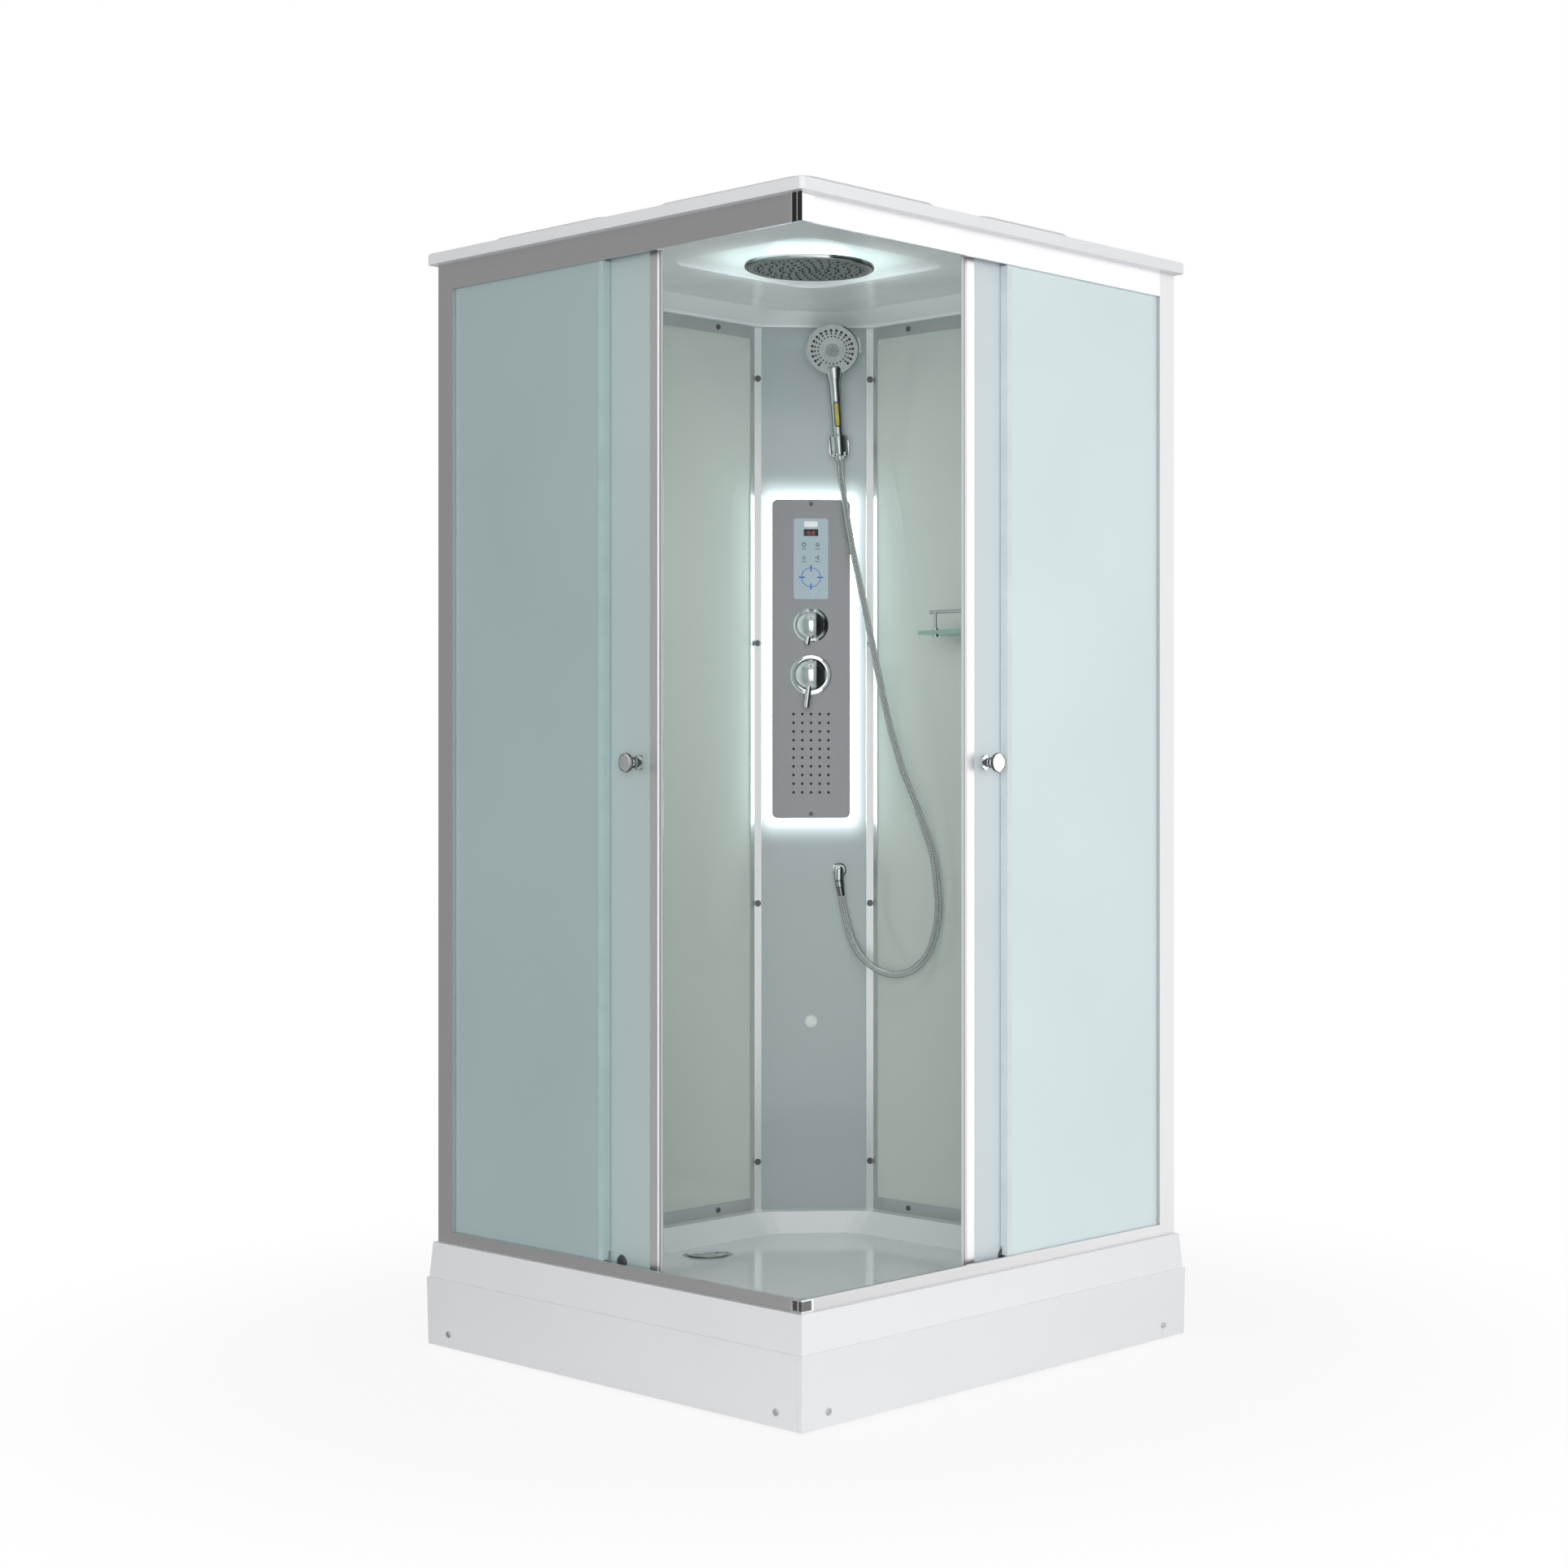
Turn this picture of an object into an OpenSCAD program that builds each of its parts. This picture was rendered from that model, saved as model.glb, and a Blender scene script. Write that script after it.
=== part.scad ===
// Corner-entry shower cabin with two sliding doors, a service column and a rain shower.
// Millimetres. The origin is the middle of the footprint on the floor, and +Z is up.
// The two doors meet at the corner +X, -Y. The column stands in the corner -X, +Y.

/* [Cabin] */
// Side of the square footprint, over the aprons and the roof rim
cabin_w = 1000; // [960:5:1040]
// Distance of the frame's outer face from the side of the cabin
frame_inset = 15; // [12:1:18]
// Height from the tray's threshold to the seat of the roof
frame_h = 1810; // [1780:5:1880]
// Thickness of every glass pane
glass_t = 5; // [4:0.5:6]

/* [Tray] */
// Gap between the floor and the aprons
apron_gap = 5; // [3:1:8]
// Height of the aprons
apron_h = 124; // [116:1:130]
// How far an apron leans in at its foot
apron_lean = 3.7; // [2:0.1:5]
// Thickness of an apron
apron_t = 4; // [3:0.5:5]
// Height of the tray's skirt above the aprons
skirt_h = 64.5; // [60:0.5:70]
// How far the skirt leans in at the threshold
skirt_lean = 5.4; // [3:0.1:6]
// Thickness of the tray's shell
tray_t = 6; // [5:0.5:7]
// Depth of the tray's floor below the threshold
basin_depth = 78.5; // [72:0.5:84]
// Depth of the rear ledge below the threshold
ledge_drop = 38.5; // [34:0.5:44]
// Slope of the basin's sides, floor to ledge, in plan
basin_slope = 40; // [30:1:50]
// Side of the square steel tube under the tray
tube_w = 25; // [20:1:30]
// Diameter of the threaded legs
leg_d = 12; // [10:1:14]
// Diameter of a foot's pad
foot_d = 50; // [40:1:60]
// Distance of the drain from the left side of the cabin
drain_in = 174; // [168:1:184]
// Distance of the drain from the middle, towards the rear wall
drain_y = 39; // [20:1:60]
// Diameter of the drain cover
cover_d = 82; // [78:1:86]
// Outer diameter of the drain outlet pipe
outlet_d = 40; // [32:1:44]

/* [Frame] */
// Depth of the rails and posts, front to back
frame_d = 40; // [38:1:44]
// Wall of the aluminium profiles
wall_t = 2; // [1.5:0.1:2.4]
// Visible width of a wall post
post_w = 43; // [40:1:48]
// Height of the bottom rails
rail_h = 22; // [20:0.5:26]
// Height of the top tracks
track_h = 47.5; // [44:0.5:52]
// Depth of the fixed glass behind the frame's face
fixed_in = 8; // [7:0.5:9]
// Depth of the door glass behind the frame's face
door_in = 24; // [23:0.5:24.5]
// Reach of a fixed panel past the middle of the side
fixed_past = 20; // [18:1:24]
// Length of a corner cap along each face
cap_leg = 26; // [22:1:28]

/* [Doors] */
// How far a closed door reaches behind the fixed panel
door_overlap = 16.5; // [12:0.5:17]
// How far the front door stands open, in percent of its travel
front_open = 85.5; // [75:0.5:90]
// How far the right door stands open, in percent of its travel
right_open = 95; // [75:0.5:96]
// Width of the door's aluminium edge profile
edge_w = 19; // [16:1:22]
// Distance from the closing edge to the middle of the knob
knob_back = 59; // [52:1:62]
// Height of the knobs above the floor
knob_z = 1082; // [1000:1:1150]
// Diameter of the knobs
knob_d = 34; // [30:1:36]
// Distance from the closing edge to the leading rollers
lead_back = 105; // [95:1:120]
// Distance from the trailing edge to the trailing rollers
tail_in = 78; // [68:1:90]
// Diameter of the rollers over their flanges
roller_d = 23; // [22:0.5:24]
// Width of the rollers
roller_w = 5; // [4.5:0.25:5]
// Diameter of a roller's axle
axle_d = 6; // [5:0.5:7]

/* [Column] */
// Half width of the column's front face
column_half = 124; // [120:0.5:128]
// Thickness of the column panel
column_t = 4; // [3:0.5:5]
// Leg of the column trims on the column's face
trim_leg = 16; // [13:1:18]
// Height of the rails along the rear panes
rear_rail_h = 24; // [20:1:28]
// Offset of the fittings' line from the middle of the column, to the left
fittings_off = 6; // [0:1:10]
// Width of the control panel
panel_w = 162; // [154:1:170]
// Height of the control panel
panel_h = 660; // [650:1:680]
// Depth of the control panel's folded edge
panel_d = 12; // [10:1:14]
// Width of the luminous border round the control panel
border_w = 12; // [8:1:16]
// Thickness of the luminous border
border_t = 4; // [3:0.5:5]

/* [Fittings] */
// Height of the mixer's axis on the control panel, in percent of the panel's height
mixer_at = 45; // [44:0.5:46]
// Height of the diverter's axis on the control panel, in percent of the panel's height
diverter_at = 60.6; // [59.6:0.2:61.6]
// Diameter of the mixer's rosette
rosette_d = 84; // [78:1:88]
// Diameter of the mixer's dome
dome_d = 66; // [62:1:68]
// Diameter of the diverter's flange
diverter_d = 72; // [66:1:76]
// Width of the keypad
keypad_w = 71; // [66:1:76]
// Height of the keypad
keypad_h = 167; // [160:1:172]
// Height of the keypad's middle on the control panel, in percent of the panel's height
keypad_at = 81.4; // [80.4:0.2:82.4]
// Spacing of the spray holes
spray_pitch = 18; // [16:1:19]
// Diameter of a spray hole
spray_d = 5; // [4:0.5:6]
// Height of the middle of the spray holes, in percent of the panel's height
spray_at = 20.4; // [19:0.2:22]
// Distance of the hose fittings from the middle of the column, to the right
hose_side = 52; // [50:1:54]
// Drop of the hose elbow below the control panel
elbow_drop = 108; // [100:1:116]
// Drop of the handset's cradle below the seat of the roof
cradle_drop = 267.5; // [264:0.5:280]
// Gap between the holder's plate and the light round the control panel
holder_gap = 76; // [66:1:86]
// Distance of the cradle from the column
cradle_out = 50; // [48:1:52]
// Lean of the handset away from the column
handset_lean = 11; // [9:1:13]
// Turn of the handset's face, down from the line of its handle
head_tilt = 15; // [10:1:18]
// Diameter of the handset's head
head_d = 108; // [100:1:112]
// Diameter of the hose
hose_d = 14; // [12:0.5:15]
// Height of the white cap above the floor
cap_z = 544; // [500:1:600]
// Diameter of the white cap
cap_d = 27; // [22:1:32]

/* [Roof] */
// Height of the roof's rim
rim_h = 20.5; // [18:0.5:24]
// Height of the roof's flat top above its seat
deck_h = 31; // [29:0.5:34]
// Height of the raised pads above the seat of the roof
pad_h = 51.5; // [46:0.5:56]
// Height of the ceiling's middle above the seat of the roof
ceiling_h = 17; // [12:0.5:19]
// Drop of the ceiling's rear edge below the seat of the roof
ceiling_drop = 20; // [18:0.5:24]
// Diameter of the rain shower
rain_d = 243; // [220:1:260]
// Thickness of the rain shower at its rim
rain_t = 9; // [8:0.5:11]
// Height of the rain shower's face above the seat of the roof
rain_z = 0; // [-3:0.5:1]

/* [Shelf] */
// Length of the glass shelf
shelf_w = 300; // [240:5:360]
// Depth of the glass shelf
shelf_d = 104; // [90:1:120]
// Thickness of the glass shelf
shelf_t = 8; // [6:0.5:10]
// Height of the shelf above the floor
shelf_z = 1336; // [1300:1:1400]
// Distance of the shelf's left end from the middle of the cabin
shelf_left = 74; // [60:1:90]
// Height of the shelf's rail above the glass
shelf_rail_h = 36; // [30:1:44]

/* [Hidden] */
$fn = 48;

// Clearances
gap = 0.3;
pin_gap = 0.05;
cut = 1;

// Heights above the floor
apron_top = apron_gap + apron_h;
threshold_z = apron_top + skirt_h;
floor_z = threshold_z - basin_depth;
ledge_z = threshold_z - ledge_drop;
seat_z = threshold_z + frame_h;
ceiling_edge_z = seat_z - ceiling_drop;
ceiling_z = seat_z + ceiling_h;
tube_top = floor_z - tray_t - 2;
tube_z = tube_top - tube_w;
track_z = seat_z - track_h;

// Half sizes in plan
half = cabin_w / 2;
face = half - frame_inset;
inner = face - frame_d;
skirt_half = half - 3;
pane_in = face - 13;
rail_in = pane_in - 4;
upstand = pane_in + glass_t + 4;
col_c = pane_in - column_half / sqrt(2);
drain_x = half - drain_in;

// Doors
door_mid = door_in + glass_t / 2;
fixed_edge = face + fixed_past;
door_w = fixed_edge + door_overlap - door_mid;
door_travel = 2 * face - post_w - door_mid - door_w - 5.5;
tail_back = door_w - tail_in;
magnet_t = glass_t + 4;
magnet_w = 8;
travel_front = door_travel * front_open / 100;
travel_right = door_travel * right_open / 100;
roller_r = roller_d / 2;
groove_r = roller_r - 2.5;
wheel_in = door_in + glass_t + 2;
wheel_mid = wheel_in + 0.4 + roller_w / 2;
lip_h = 11.5;
low_wheel_z = threshold_z + lip_h + groove_r + gap;
shelf_drop = 36;
top_wheel_z = seat_z - shelf_drop + groove_r + 2.5 + gap;
door_bottom = threshold_z + 11.5;
door_top = seat_z - 7.5;

// Column fittings, from the roof down
holder_h = 44;
cradle_z = seat_z - cradle_drop;
panel_z = cradle_z - holder_h / 2 - holder_gap - border_w - panel_h;
mixer_z = panel_z + panel_h * mixer_at / 100;
diverter_z = panel_z + panel_h * diverter_at / 100;
keypad_mid = panel_z + panel_h * keypad_at / 100;
spray_mid = panel_z + panel_h * spray_at / 100;
elbow_z = panel_z - elbow_drop;

// Column fittings, in the column's own frame: X to the right, -Y out of the wall
panel_front = border_t + panel_d;
neck_d = 40;
spindle_d = 16;
stem_d = 44;
stem_front = panel_front + 28;
tilt_out = panel_front + 18;
tilt_pin_d = 6;
valve_back = 26;
supply_d = 14;
swivel_d = 8;
swivel_back = 26;
rain_neck_d = 50;

// Front face helpers. Depth runs in from the frame's face, and along runs from the corner.
module along_front(from, to) {
  translate([face - to, -face, 0]) rotate([90, 0, 90]) linear_extrude(to - from) children();
}
module to_right() mirror([1, 1, 0]) children();
module on_column() translate([-col_c, col_c, 0]) rotate([0, 0, 45]) children();
module strip(x0, x1, y0, y1) translate([x0, y0]) square([x1 - x0, y1 - y0]);
module block(x0, x1, y0, y1, z0, z1) translate([x0, y0, z0]) cube([x1 - x0, y1 - y0, z1 - z0]);

// A rectangle with round corners, centred
module rounded(w, h, r) {
  square([w - 2 * r, h], center = true);
  square([w, h - 2 * r], center = true);
  for (x = [-1, 1], y = [-1, 1]) translate([x * (w / 2 - r), y * (h / 2 - r)]) circle(r);
}

// A plate that stands on the column: its face is at depth front, its back at depth back
module column_plate(back, front)
  rotate([90, 0, 0]) translate([0, 0, back]) linear_extrude(front - back) children();
module column_rod(d, back, front) rotate([90, 0, 0]) translate([0, 0, back]) cylinder(d = d, h = front - back);

// A square prism whose sides lean, from half size h0 at z0 to h1 at z1
module leaning_block(h0, z0, h1, z1) {
  side = [[-h0, z0], [h0, z0], [h1, z1], [-h1, z1]];
  intersection() {
    rotate([90, 0, 0]) translate([0, 0, -half - cut]) linear_extrude(2 * half + 2 * cut) polygon(side);
    rotate([90, 0, 90]) translate([0, 0, -half - cut]) linear_extrude(2 * half + 2 * cut) polygon(side);
  }
}

// The five rounded corners of a bowl that is cut off in front of the column
function bowl_corners(rear, front, off, r) = [
  [-rear + r, -front + r], [front - r, -front + r], [front - r, rear - r],
  [rear - r - off + r * sqrt(2), rear - r], [-rear + r, -rear + r + off - r * sqrt(2)]
];
module bowl_level(rear, front, off, r, z) {
  for (p = bowl_corners(rear, front, off, r))
    translate([p[0], p[1], z]) cylinder(r = r, h = 0.5, $fn = 32);
}

// Pipe along a list of points, with round bends
module pipe_run(points, d) {
  for (i = [0 : len(points) - 2]) {
    run = points[i + 1] - points[i];
    reach = norm(run);
    turn = [0, acos(run[2] / reach), atan2(run[1], run[0])];
    translate(points[i]) rotate(turn) cylinder(d = d, h = reach);
    if (i > 0) translate(points[i]) sphere(d = d + 4);
  }
}

// Tray
basin_rear = inner - 5;
basin_off = 2 * col_c - 42;
module basin_form(grow, z0) {
  hull() {
    low = basin_rear - basin_slope + grow;
    high = basin_rear + grow;
    bowl_level(low, low, basin_off - basin_slope + grow, 60, z0);
    bowl_level(high, high, basin_off + grow, 80, ledge_z);
  }
}
trap_hole = 64;
recess_d = 98;
module shower_tray() color("white") {
  recess_t = 3;
  difference() {
    union() {
      difference() {
        leaning_block(skirt_half, apron_top - 5, skirt_half - skirt_lean, threshold_z);
        leaning_block(skirt_half - tray_t, apron_top - 6, skirt_half - skirt_lean - tray_t,
          threshold_z - tray_t);
      }
      block(-upstand - tray_t, inner + 5, -inner - 5, upstand + tray_t, ledge_z - tray_t,
        threshold_z - tray_t);
      basin_form(tray_t, floor_z - tray_t - 2);
    }
    basin_form(0, floor_z);
    block(-upstand, inner, -inner, upstand, ledge_z, threshold_z + cut);
    translate([-drain_x, drain_y, floor_z - tray_t - 3]) cylinder(d = trap_hole, h = tray_t + 4);
    translate([-drain_x, drain_y, floor_z - recess_t]) cylinder(d = recess_d, h = tray_t);
  }
}

// An apron lies on the leaning front of the cabin; its lip hides the foot of the tray's skirt
module apron_plate(from, to) {
  lip = 3;
  translate([from, -half, 0]) rotate([90, 0, 90]) linear_extrude(to - from) polygon([
    [apron_lean, apron_gap], [apron_lean + apron_t, apron_gap], [apron_t, apron_top - 8],
    [apron_t, apron_top - 5.5], [lip, apron_top - 5.5], [lip, apron_top], [1.5, apron_top],
    [0.45, apron_top - 0.45], [0, apron_top - 1.5]
  ]);
}
apron_joint = 13;
screw_x = half - 63;
screw_z = apron_gap + 25;
module apron_holes() {
  for (s = [-1, 1])
    translate([s * screw_x, -half - cut, screw_z]) rotate([-90, 0, 0]) cylinder(d = 5.2, h = 20);
}
module apron_front() color("white") difference() {
  apron_plate(-half, half - apron_joint);
  apron_holes();
}
// The right apron turns the corner with a mitre, and its short return meets the front apron
module apron_mitre() translate([0, 0, -cut]) linear_extrude(apron_top + 2 * cut) polygon([
  [half + cut, -half - cut], [half - 60, -half + 60], [half - 60, -half - cut]
]);
module apron_right() color("white") {
  difference() {
    to_right() apron_plate(-half, half);
    to_right() apron_holes();
    apron_mitre();
  }
  intersection() {
    apron_plate(half - apron_joint + gap, half);
    apron_mitre();
  }
}

// Steel frame under the tray: square tubes, cut to length and butted at their welds
ring = half - 100;
weld = 0.05;
module steel_tube(x0, x1, y0, y1) block(x0, x1, y0, y1, tube_z, tube_top);
arm_w = 24;
arm_t = 4;
module apron_bracket() {
  foot_z = screw_z - 16;
  for (s = [-1, 1]) translate([s * screw_x, 0, 0]) {
    block(-arm_w / 2, arm_w / 2, -bracket_face, -ring, tube_z, tube_z + arm_t);
    difference() {
      block(-arm_w / 2, arm_w / 2, -bracket_face, -bracket_face + arm_t, foot_z, tube_z + arm_t);
      translate([0, -half, screw_z]) rotate([-90, 0, 0]) cylinder(d = 5.2, h = 20);
    }
  }
}
bracket_face = half - apron_lean - apron_t - gap;
module tray_frame() color("silver") {
  w = tube_w / 2;
  reach = screw_x + arm_w / 2;
  bay = ring / 2;
  run = ring - w - weld;
  span = bay - w - weld;
  difference() {
    union() {
      for (s = [-1, 1]) {
        steel_tube(-reach, reach, s * ring - w, s * ring + w);
        steel_tube(s * ring - w, s * ring + w, -run, run);
        steel_tube(s * ring - w, s * ring + w, -reach, -ring);
        steel_tube(s * ring - w, s * ring + w, ring, reach);
        steel_tube(s * bay - w, s * bay + w, -run, run);
      }
      steel_tube(-span, span, -w, w);
      apron_bracket();
      to_right() apron_bracket();
    }
    for (p = feet_places) translate([p[0], p[1], tube_z - cut]) cylinder(d = leg_d + 1, h = 12);
  }
}
feet_places = [[-ring, -ring], [ring, -ring], [ring, ring], [-ring, ring], [0, 0]];
module tray_feet() color("dimgray") {
  pad_t = 9;
  nut_t = 8;
  for (p = feet_places) translate([p[0], p[1], 0]) {
    rotate_extrude() polygon([[0, 0], [foot_d / 2, 0], [foot_d / 2, 4], [foot_d / 2 - 4, pad_t], [0, pad_t]]);
    cylinder(d = leg_d, h = tube_z + 10);
    translate([0, 0, pad_t]) cylinder(d = leg_d * 1.8, h = nut_t, $fn = 6);
    translate([0, 0, tube_z - nut_t]) cylinder(d = leg_d * 1.8, h = nut_t, $fn = 6);
  }
}

// Drain
trap_z = 25;
trap_d = 104;
outlet_z = 50;
throat_d = 52;
outlet_in = 30;
outlet_free = 50;
module drain_trap() color("gray") translate([-drain_x, drain_y, 0]) {
  top = floor_z - tray_t - 2 - gap;
  outlet_run = half - drain_x - outlet_in;
  difference() {
    union() {
      translate([0, 0, floor_z - 3 + 0.1]) cylinder(d = recess_d - 1, h = 2.6);
      translate([0, 0, top - 2]) cylinder(d = throat_d + 8, h = floor_z - top);
      translate([0, 0, trap_z]) cylinder(d = trap_d, h = top - trap_z);
      translate([0, 0, outlet_z]) rotate([0, -90, 0]) {
        cylinder(d = outlet_d, h = outlet_run);
        cylinder(d = outlet_d + 6, h = outlet_run - outlet_free);
      }
    }
    translate([0, 0, trap_z + 4]) cylinder(d = trap_d - 8, h = top - trap_z - 8);
    translate([0, 0, top - 10]) cylinder(d = throat_d, h = 30);
    translate([0, 0, outlet_z]) rotate([0, -90, 0]) cylinder(d = outlet_d - 5, h = half - drain_x);
  }
}
module drain_cover() color("lightgray") translate([-drain_x, drain_y, floor_z]) rotate_extrude() {
  polygon([
    [0, 0], [22, 0], [22, -26], [24, -26], [24, 0], [33, 0], [33, 2.6], [cover_d / 2 - 1, 2.6],
    [cover_d / 2, 3.4], [cover_d / 2 - 1.2, 4.8], [24, 5.8], [0, 6.2]
  ]);
}

// Rails and tracks: sections in depth and height, cut at 45 degrees at the corner
module corner_cut(z0, z1) {
  linear_extrude(z1 - z0) polygon([
    [face + cut, -face - cut], [face - cap_leg, -face - cut], [face - cap_leg, -face + cap_in],
    [face - cap_in - gap / 2, -face + cap_in], [inner - 60, -inner + 60 - gap],
    [inner - 60, -inner + 80], [face + cut, -inner + 80]
  ]);
}
cap_in = fixed_in + glass_t + 2;
module bottom_rail() difference() {
  translate([0, 0, threshold_z]) along_front(0, 2 * face - post_w) {
    strip(0, frame_d, 0, wall_t);
    strip(0, wall_t, 0, rail_h);
    strip(0, fixed_in - 1.5, rail_h - 1.5, rail_h);
    strip(fixed_in + glass_t + 2, fixed_in + glass_t + 3.5, 0, rail_h - 6);
    strip(wheel_mid - 1, wheel_mid + 1, 0, lip_h);
    strip(frame_d - wall_t, frame_d, 0, 8);
  }
  translate([0, 0, threshold_z - cut]) corner_cut(0, rail_h + 2 * cut);
}
module top_track() difference() {
  translate([0, 0, seat_z]) along_front(0, 2 * face - post_w) {
    strip(0, frame_d, -wall_t, 0);
    strip(0, wall_t, -track_h, 0);
    strip(0, fixed_in - 1.5, -track_h, -track_h + 1.5);
    strip(fixed_in + glass_t + 2, fixed_in + glass_t + 3.5, -18, 0);
    strip(frame_d - wall_t, frame_d, -shelf_drop - 1.5, 0);
    strip(wheel_in - 0.5, frame_d, -shelf_drop - 1.5, -shelf_drop);
    strip(wheel_in - 1.4, wheel_in, -shelf_drop - 1.5, -shelf_drop + 3);
  }
  translate([0, 0, track_z - cut]) corner_cut(0, track_h + 2 * cut);
}
module bottom_rail_front() color("silver") bottom_rail();
module bottom_rail_right() color("silver") to_right() bottom_rail();
module top_track_front() color("silver") top_track();
module top_track_right() color("silver") to_right() top_track();

// Wall post: a hollow profile with a glazing channel that opens towards the corner
module post_section() {
  channel = 10;
  difference() {
    square([post_w, frame_d]);
    translate([wall_t, wall_t]) square([post_w - 2 * wall_t - channel, frame_d - 2 * wall_t]);
    translate([post_w - channel, fixed_in - 0.5]) square([channel + cut, glass_t + 1]);
    translate([post_w - channel, cap_in + 1.5]) square([channel - wall_t, frame_d - wall_t - cap_in - 1.5]);
    translate([wall_t, frame_d / 2]) circle(1.2);
  }
}
module wall_post() translate([-face, -face, threshold_z]) linear_extrude(frame_h) post_section();
module wall_post_front() color("silver") wall_post();
module wall_post_right() color("silver") to_right() wall_post();

// Chrome caps over the corner joint of the rails and of the tracks
module cap_section(proud) {
  r = 3;
  difference() {
    union() {
      strip(face - cap_leg + gap, face + proud - r, -face - proud, -face + cap_in - gap);
      strip(face - cap_in + gap, face + proud, -face - proud + r, -face + cap_leg - gap);
      translate([face + proud - r, -face - proud + r]) circle(r);
    }
    strip(face - cap_leg - cut, face - cap_in, -face + wall_t, -face + cap_in + cut);
    strip(face - cap_in - cut, face - wall_t, -face + cap_in, -face + cap_leg + cut);
  }
}
module corner_caps() color("silver") {
  translate([0, 0, threshold_z]) linear_extrude(rail_h) cap_section(0.8);
  translate([0, 0, track_z]) linear_extrude(track_h) cap_section(0.8);
}

// Fixed panels and their seals
seal_w = 12;
module fixed_glass() translate([0, 0, threshold_z + wall_t + gap]) {
  along_front(fixed_edge + wall_t, 2 * face - post_w + 8) strip(fixed_in, fixed_in + glass_t, 0, frame_h - 8);
}
module fixed_glass_front() color("lightcyan", 0.6) fixed_glass();
module fixed_glass_right() color("lightcyan", 0.6) to_right() fixed_glass();
module fixed_seal() {
  t = 1.5;
  x = face - fixed_edge;
  z0 = threshold_z + rail_h + gap;
  z1 = low_wheel_z + 16;
  translate([0, 0, z0]) linear_extrude(track_z - z0 - gap) {
    strip(x - seal_w, x, -face + fixed_in - t, -face + fixed_in);
    strip(x - t, x, -face + fixed_in - t, -face + door_in - 4.6);
    strip(x - seal_w, x, -face + fixed_in + glass_t, -face + fixed_in + glass_t + t);
  }
  translate([0, 0, z1]) linear_extrude(track_z - z1 - gap)
    strip(x - t, x, -face + fixed_in + glass_t, -face + door_in - 1);
}
module fixed_glass_seals() color("whitesmoke") {
  fixed_seal();
  to_right() fixed_seal();
}

// Rear panes, which run from a wall post to the column, and the rails along their edges
pane_stop = col_c - column_half / sqrt(2);
module rear_pane()
  block(-pane_in - glass_t, -pane_in, -inner, pane_stop, ledge_z + wall_t, ceiling_edge_z - wall_t);
module rear_glass_left() color("darkseagreen") rear_pane();
module rear_glass_right() color("darkseagreen") to_right() rear_pane();
module rear_rail(z0, up) {
  bottom = up > 0 ? z0 : z0 - rear_rail_h;
  groove = up > 0 ? z0 + wall_t : z0 - wall_t - rear_rail_h - cut;
  difference() {
    block(-upstand + gap, -rail_in, -inner, pane_stop - trim_side - 1.3, bottom, bottom + rear_rail_h);
    block(-pane_in - glass_t, -pane_in, -inner - cut, pane_stop, groove, groove + rear_rail_h + cut);
    for (y = rear_screw_ys)
      translate([-rail_in - 3, y, bottom + rear_rail_h / 2]) rotate([0, 90, 0]) cylinder(d = 4, h = 6);
  }
}
rear_screw_ys = [-inner + 110, (pane_stop - inner) / 2 - 1, pane_stop - 103];
module rear_rails() color("silver") {
  rear_rail(ledge_z, 1);
  rear_rail(ceiling_edge_z, -1);
  to_right() rear_rail(ledge_z, 1);
  to_right() rear_rail(ceiling_edge_z, -1);
}

// Service column
module wall_column() color("lightsteelblue") on_column() difference() {
  half_w = column_half - 0.5;
  block(-half_w, half_w, 0, column_t, ledge_z, ceiling_edge_z - 0.1);
  translate([-fittings_off, 0, mixer_z]) column_rod(neck_d + 2, -column_t - cut, cut);
  translate([-fittings_off, 0, diverter_z]) column_rod(neck_d + 2, -column_t - cut, cut);
  translate([-fittings_off, 0, port_z]) column_rod(supply_d + 1, -column_t - cut, cut);
  translate([hose_side, 0, elbow_z]) column_rod(supply_d + 1, -column_t - cut, cut);
  translate([-fittings_off, 0, cap_z]) column_rod(cap_d - 6, -column_t - cut, cut);
}
trim_t = 2;
trim_side = 11;
trim_screw_z = [for (share = [5.4, 34.7, 64.2, 94.2]) ledge_z + (ceiling_edge_z - ledge_z) * share / 100];
post_screw_z = [for (share = [3.8, 33.5, 63.3, 93.8]) threshold_z + frame_h * share / 100];
module trim_section() {
  k = column_half - 0.1;
  s = sqrt(0.5);
  polygon([
    [k - trim_leg, 0], [k - trim_leg, -trim_t + 0.6], [k - trim_leg + 0.6, -trim_t],
    [k - trim_t * 0.414, -trim_t], [k - trim_t * 0.414 + trim_side * s, -trim_t - trim_side * s],
    [k + trim_side * s, -trim_side * s], [k, 0]
  ]);
}
module column_trims() color("silver") on_column() for (m = [0, 1]) mirror([m, 0, 0])
  translate([0, 0, ledge_z]) linear_extrude(ceiling_edge_z - ledge_z - 0.1) trim_section();

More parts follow.
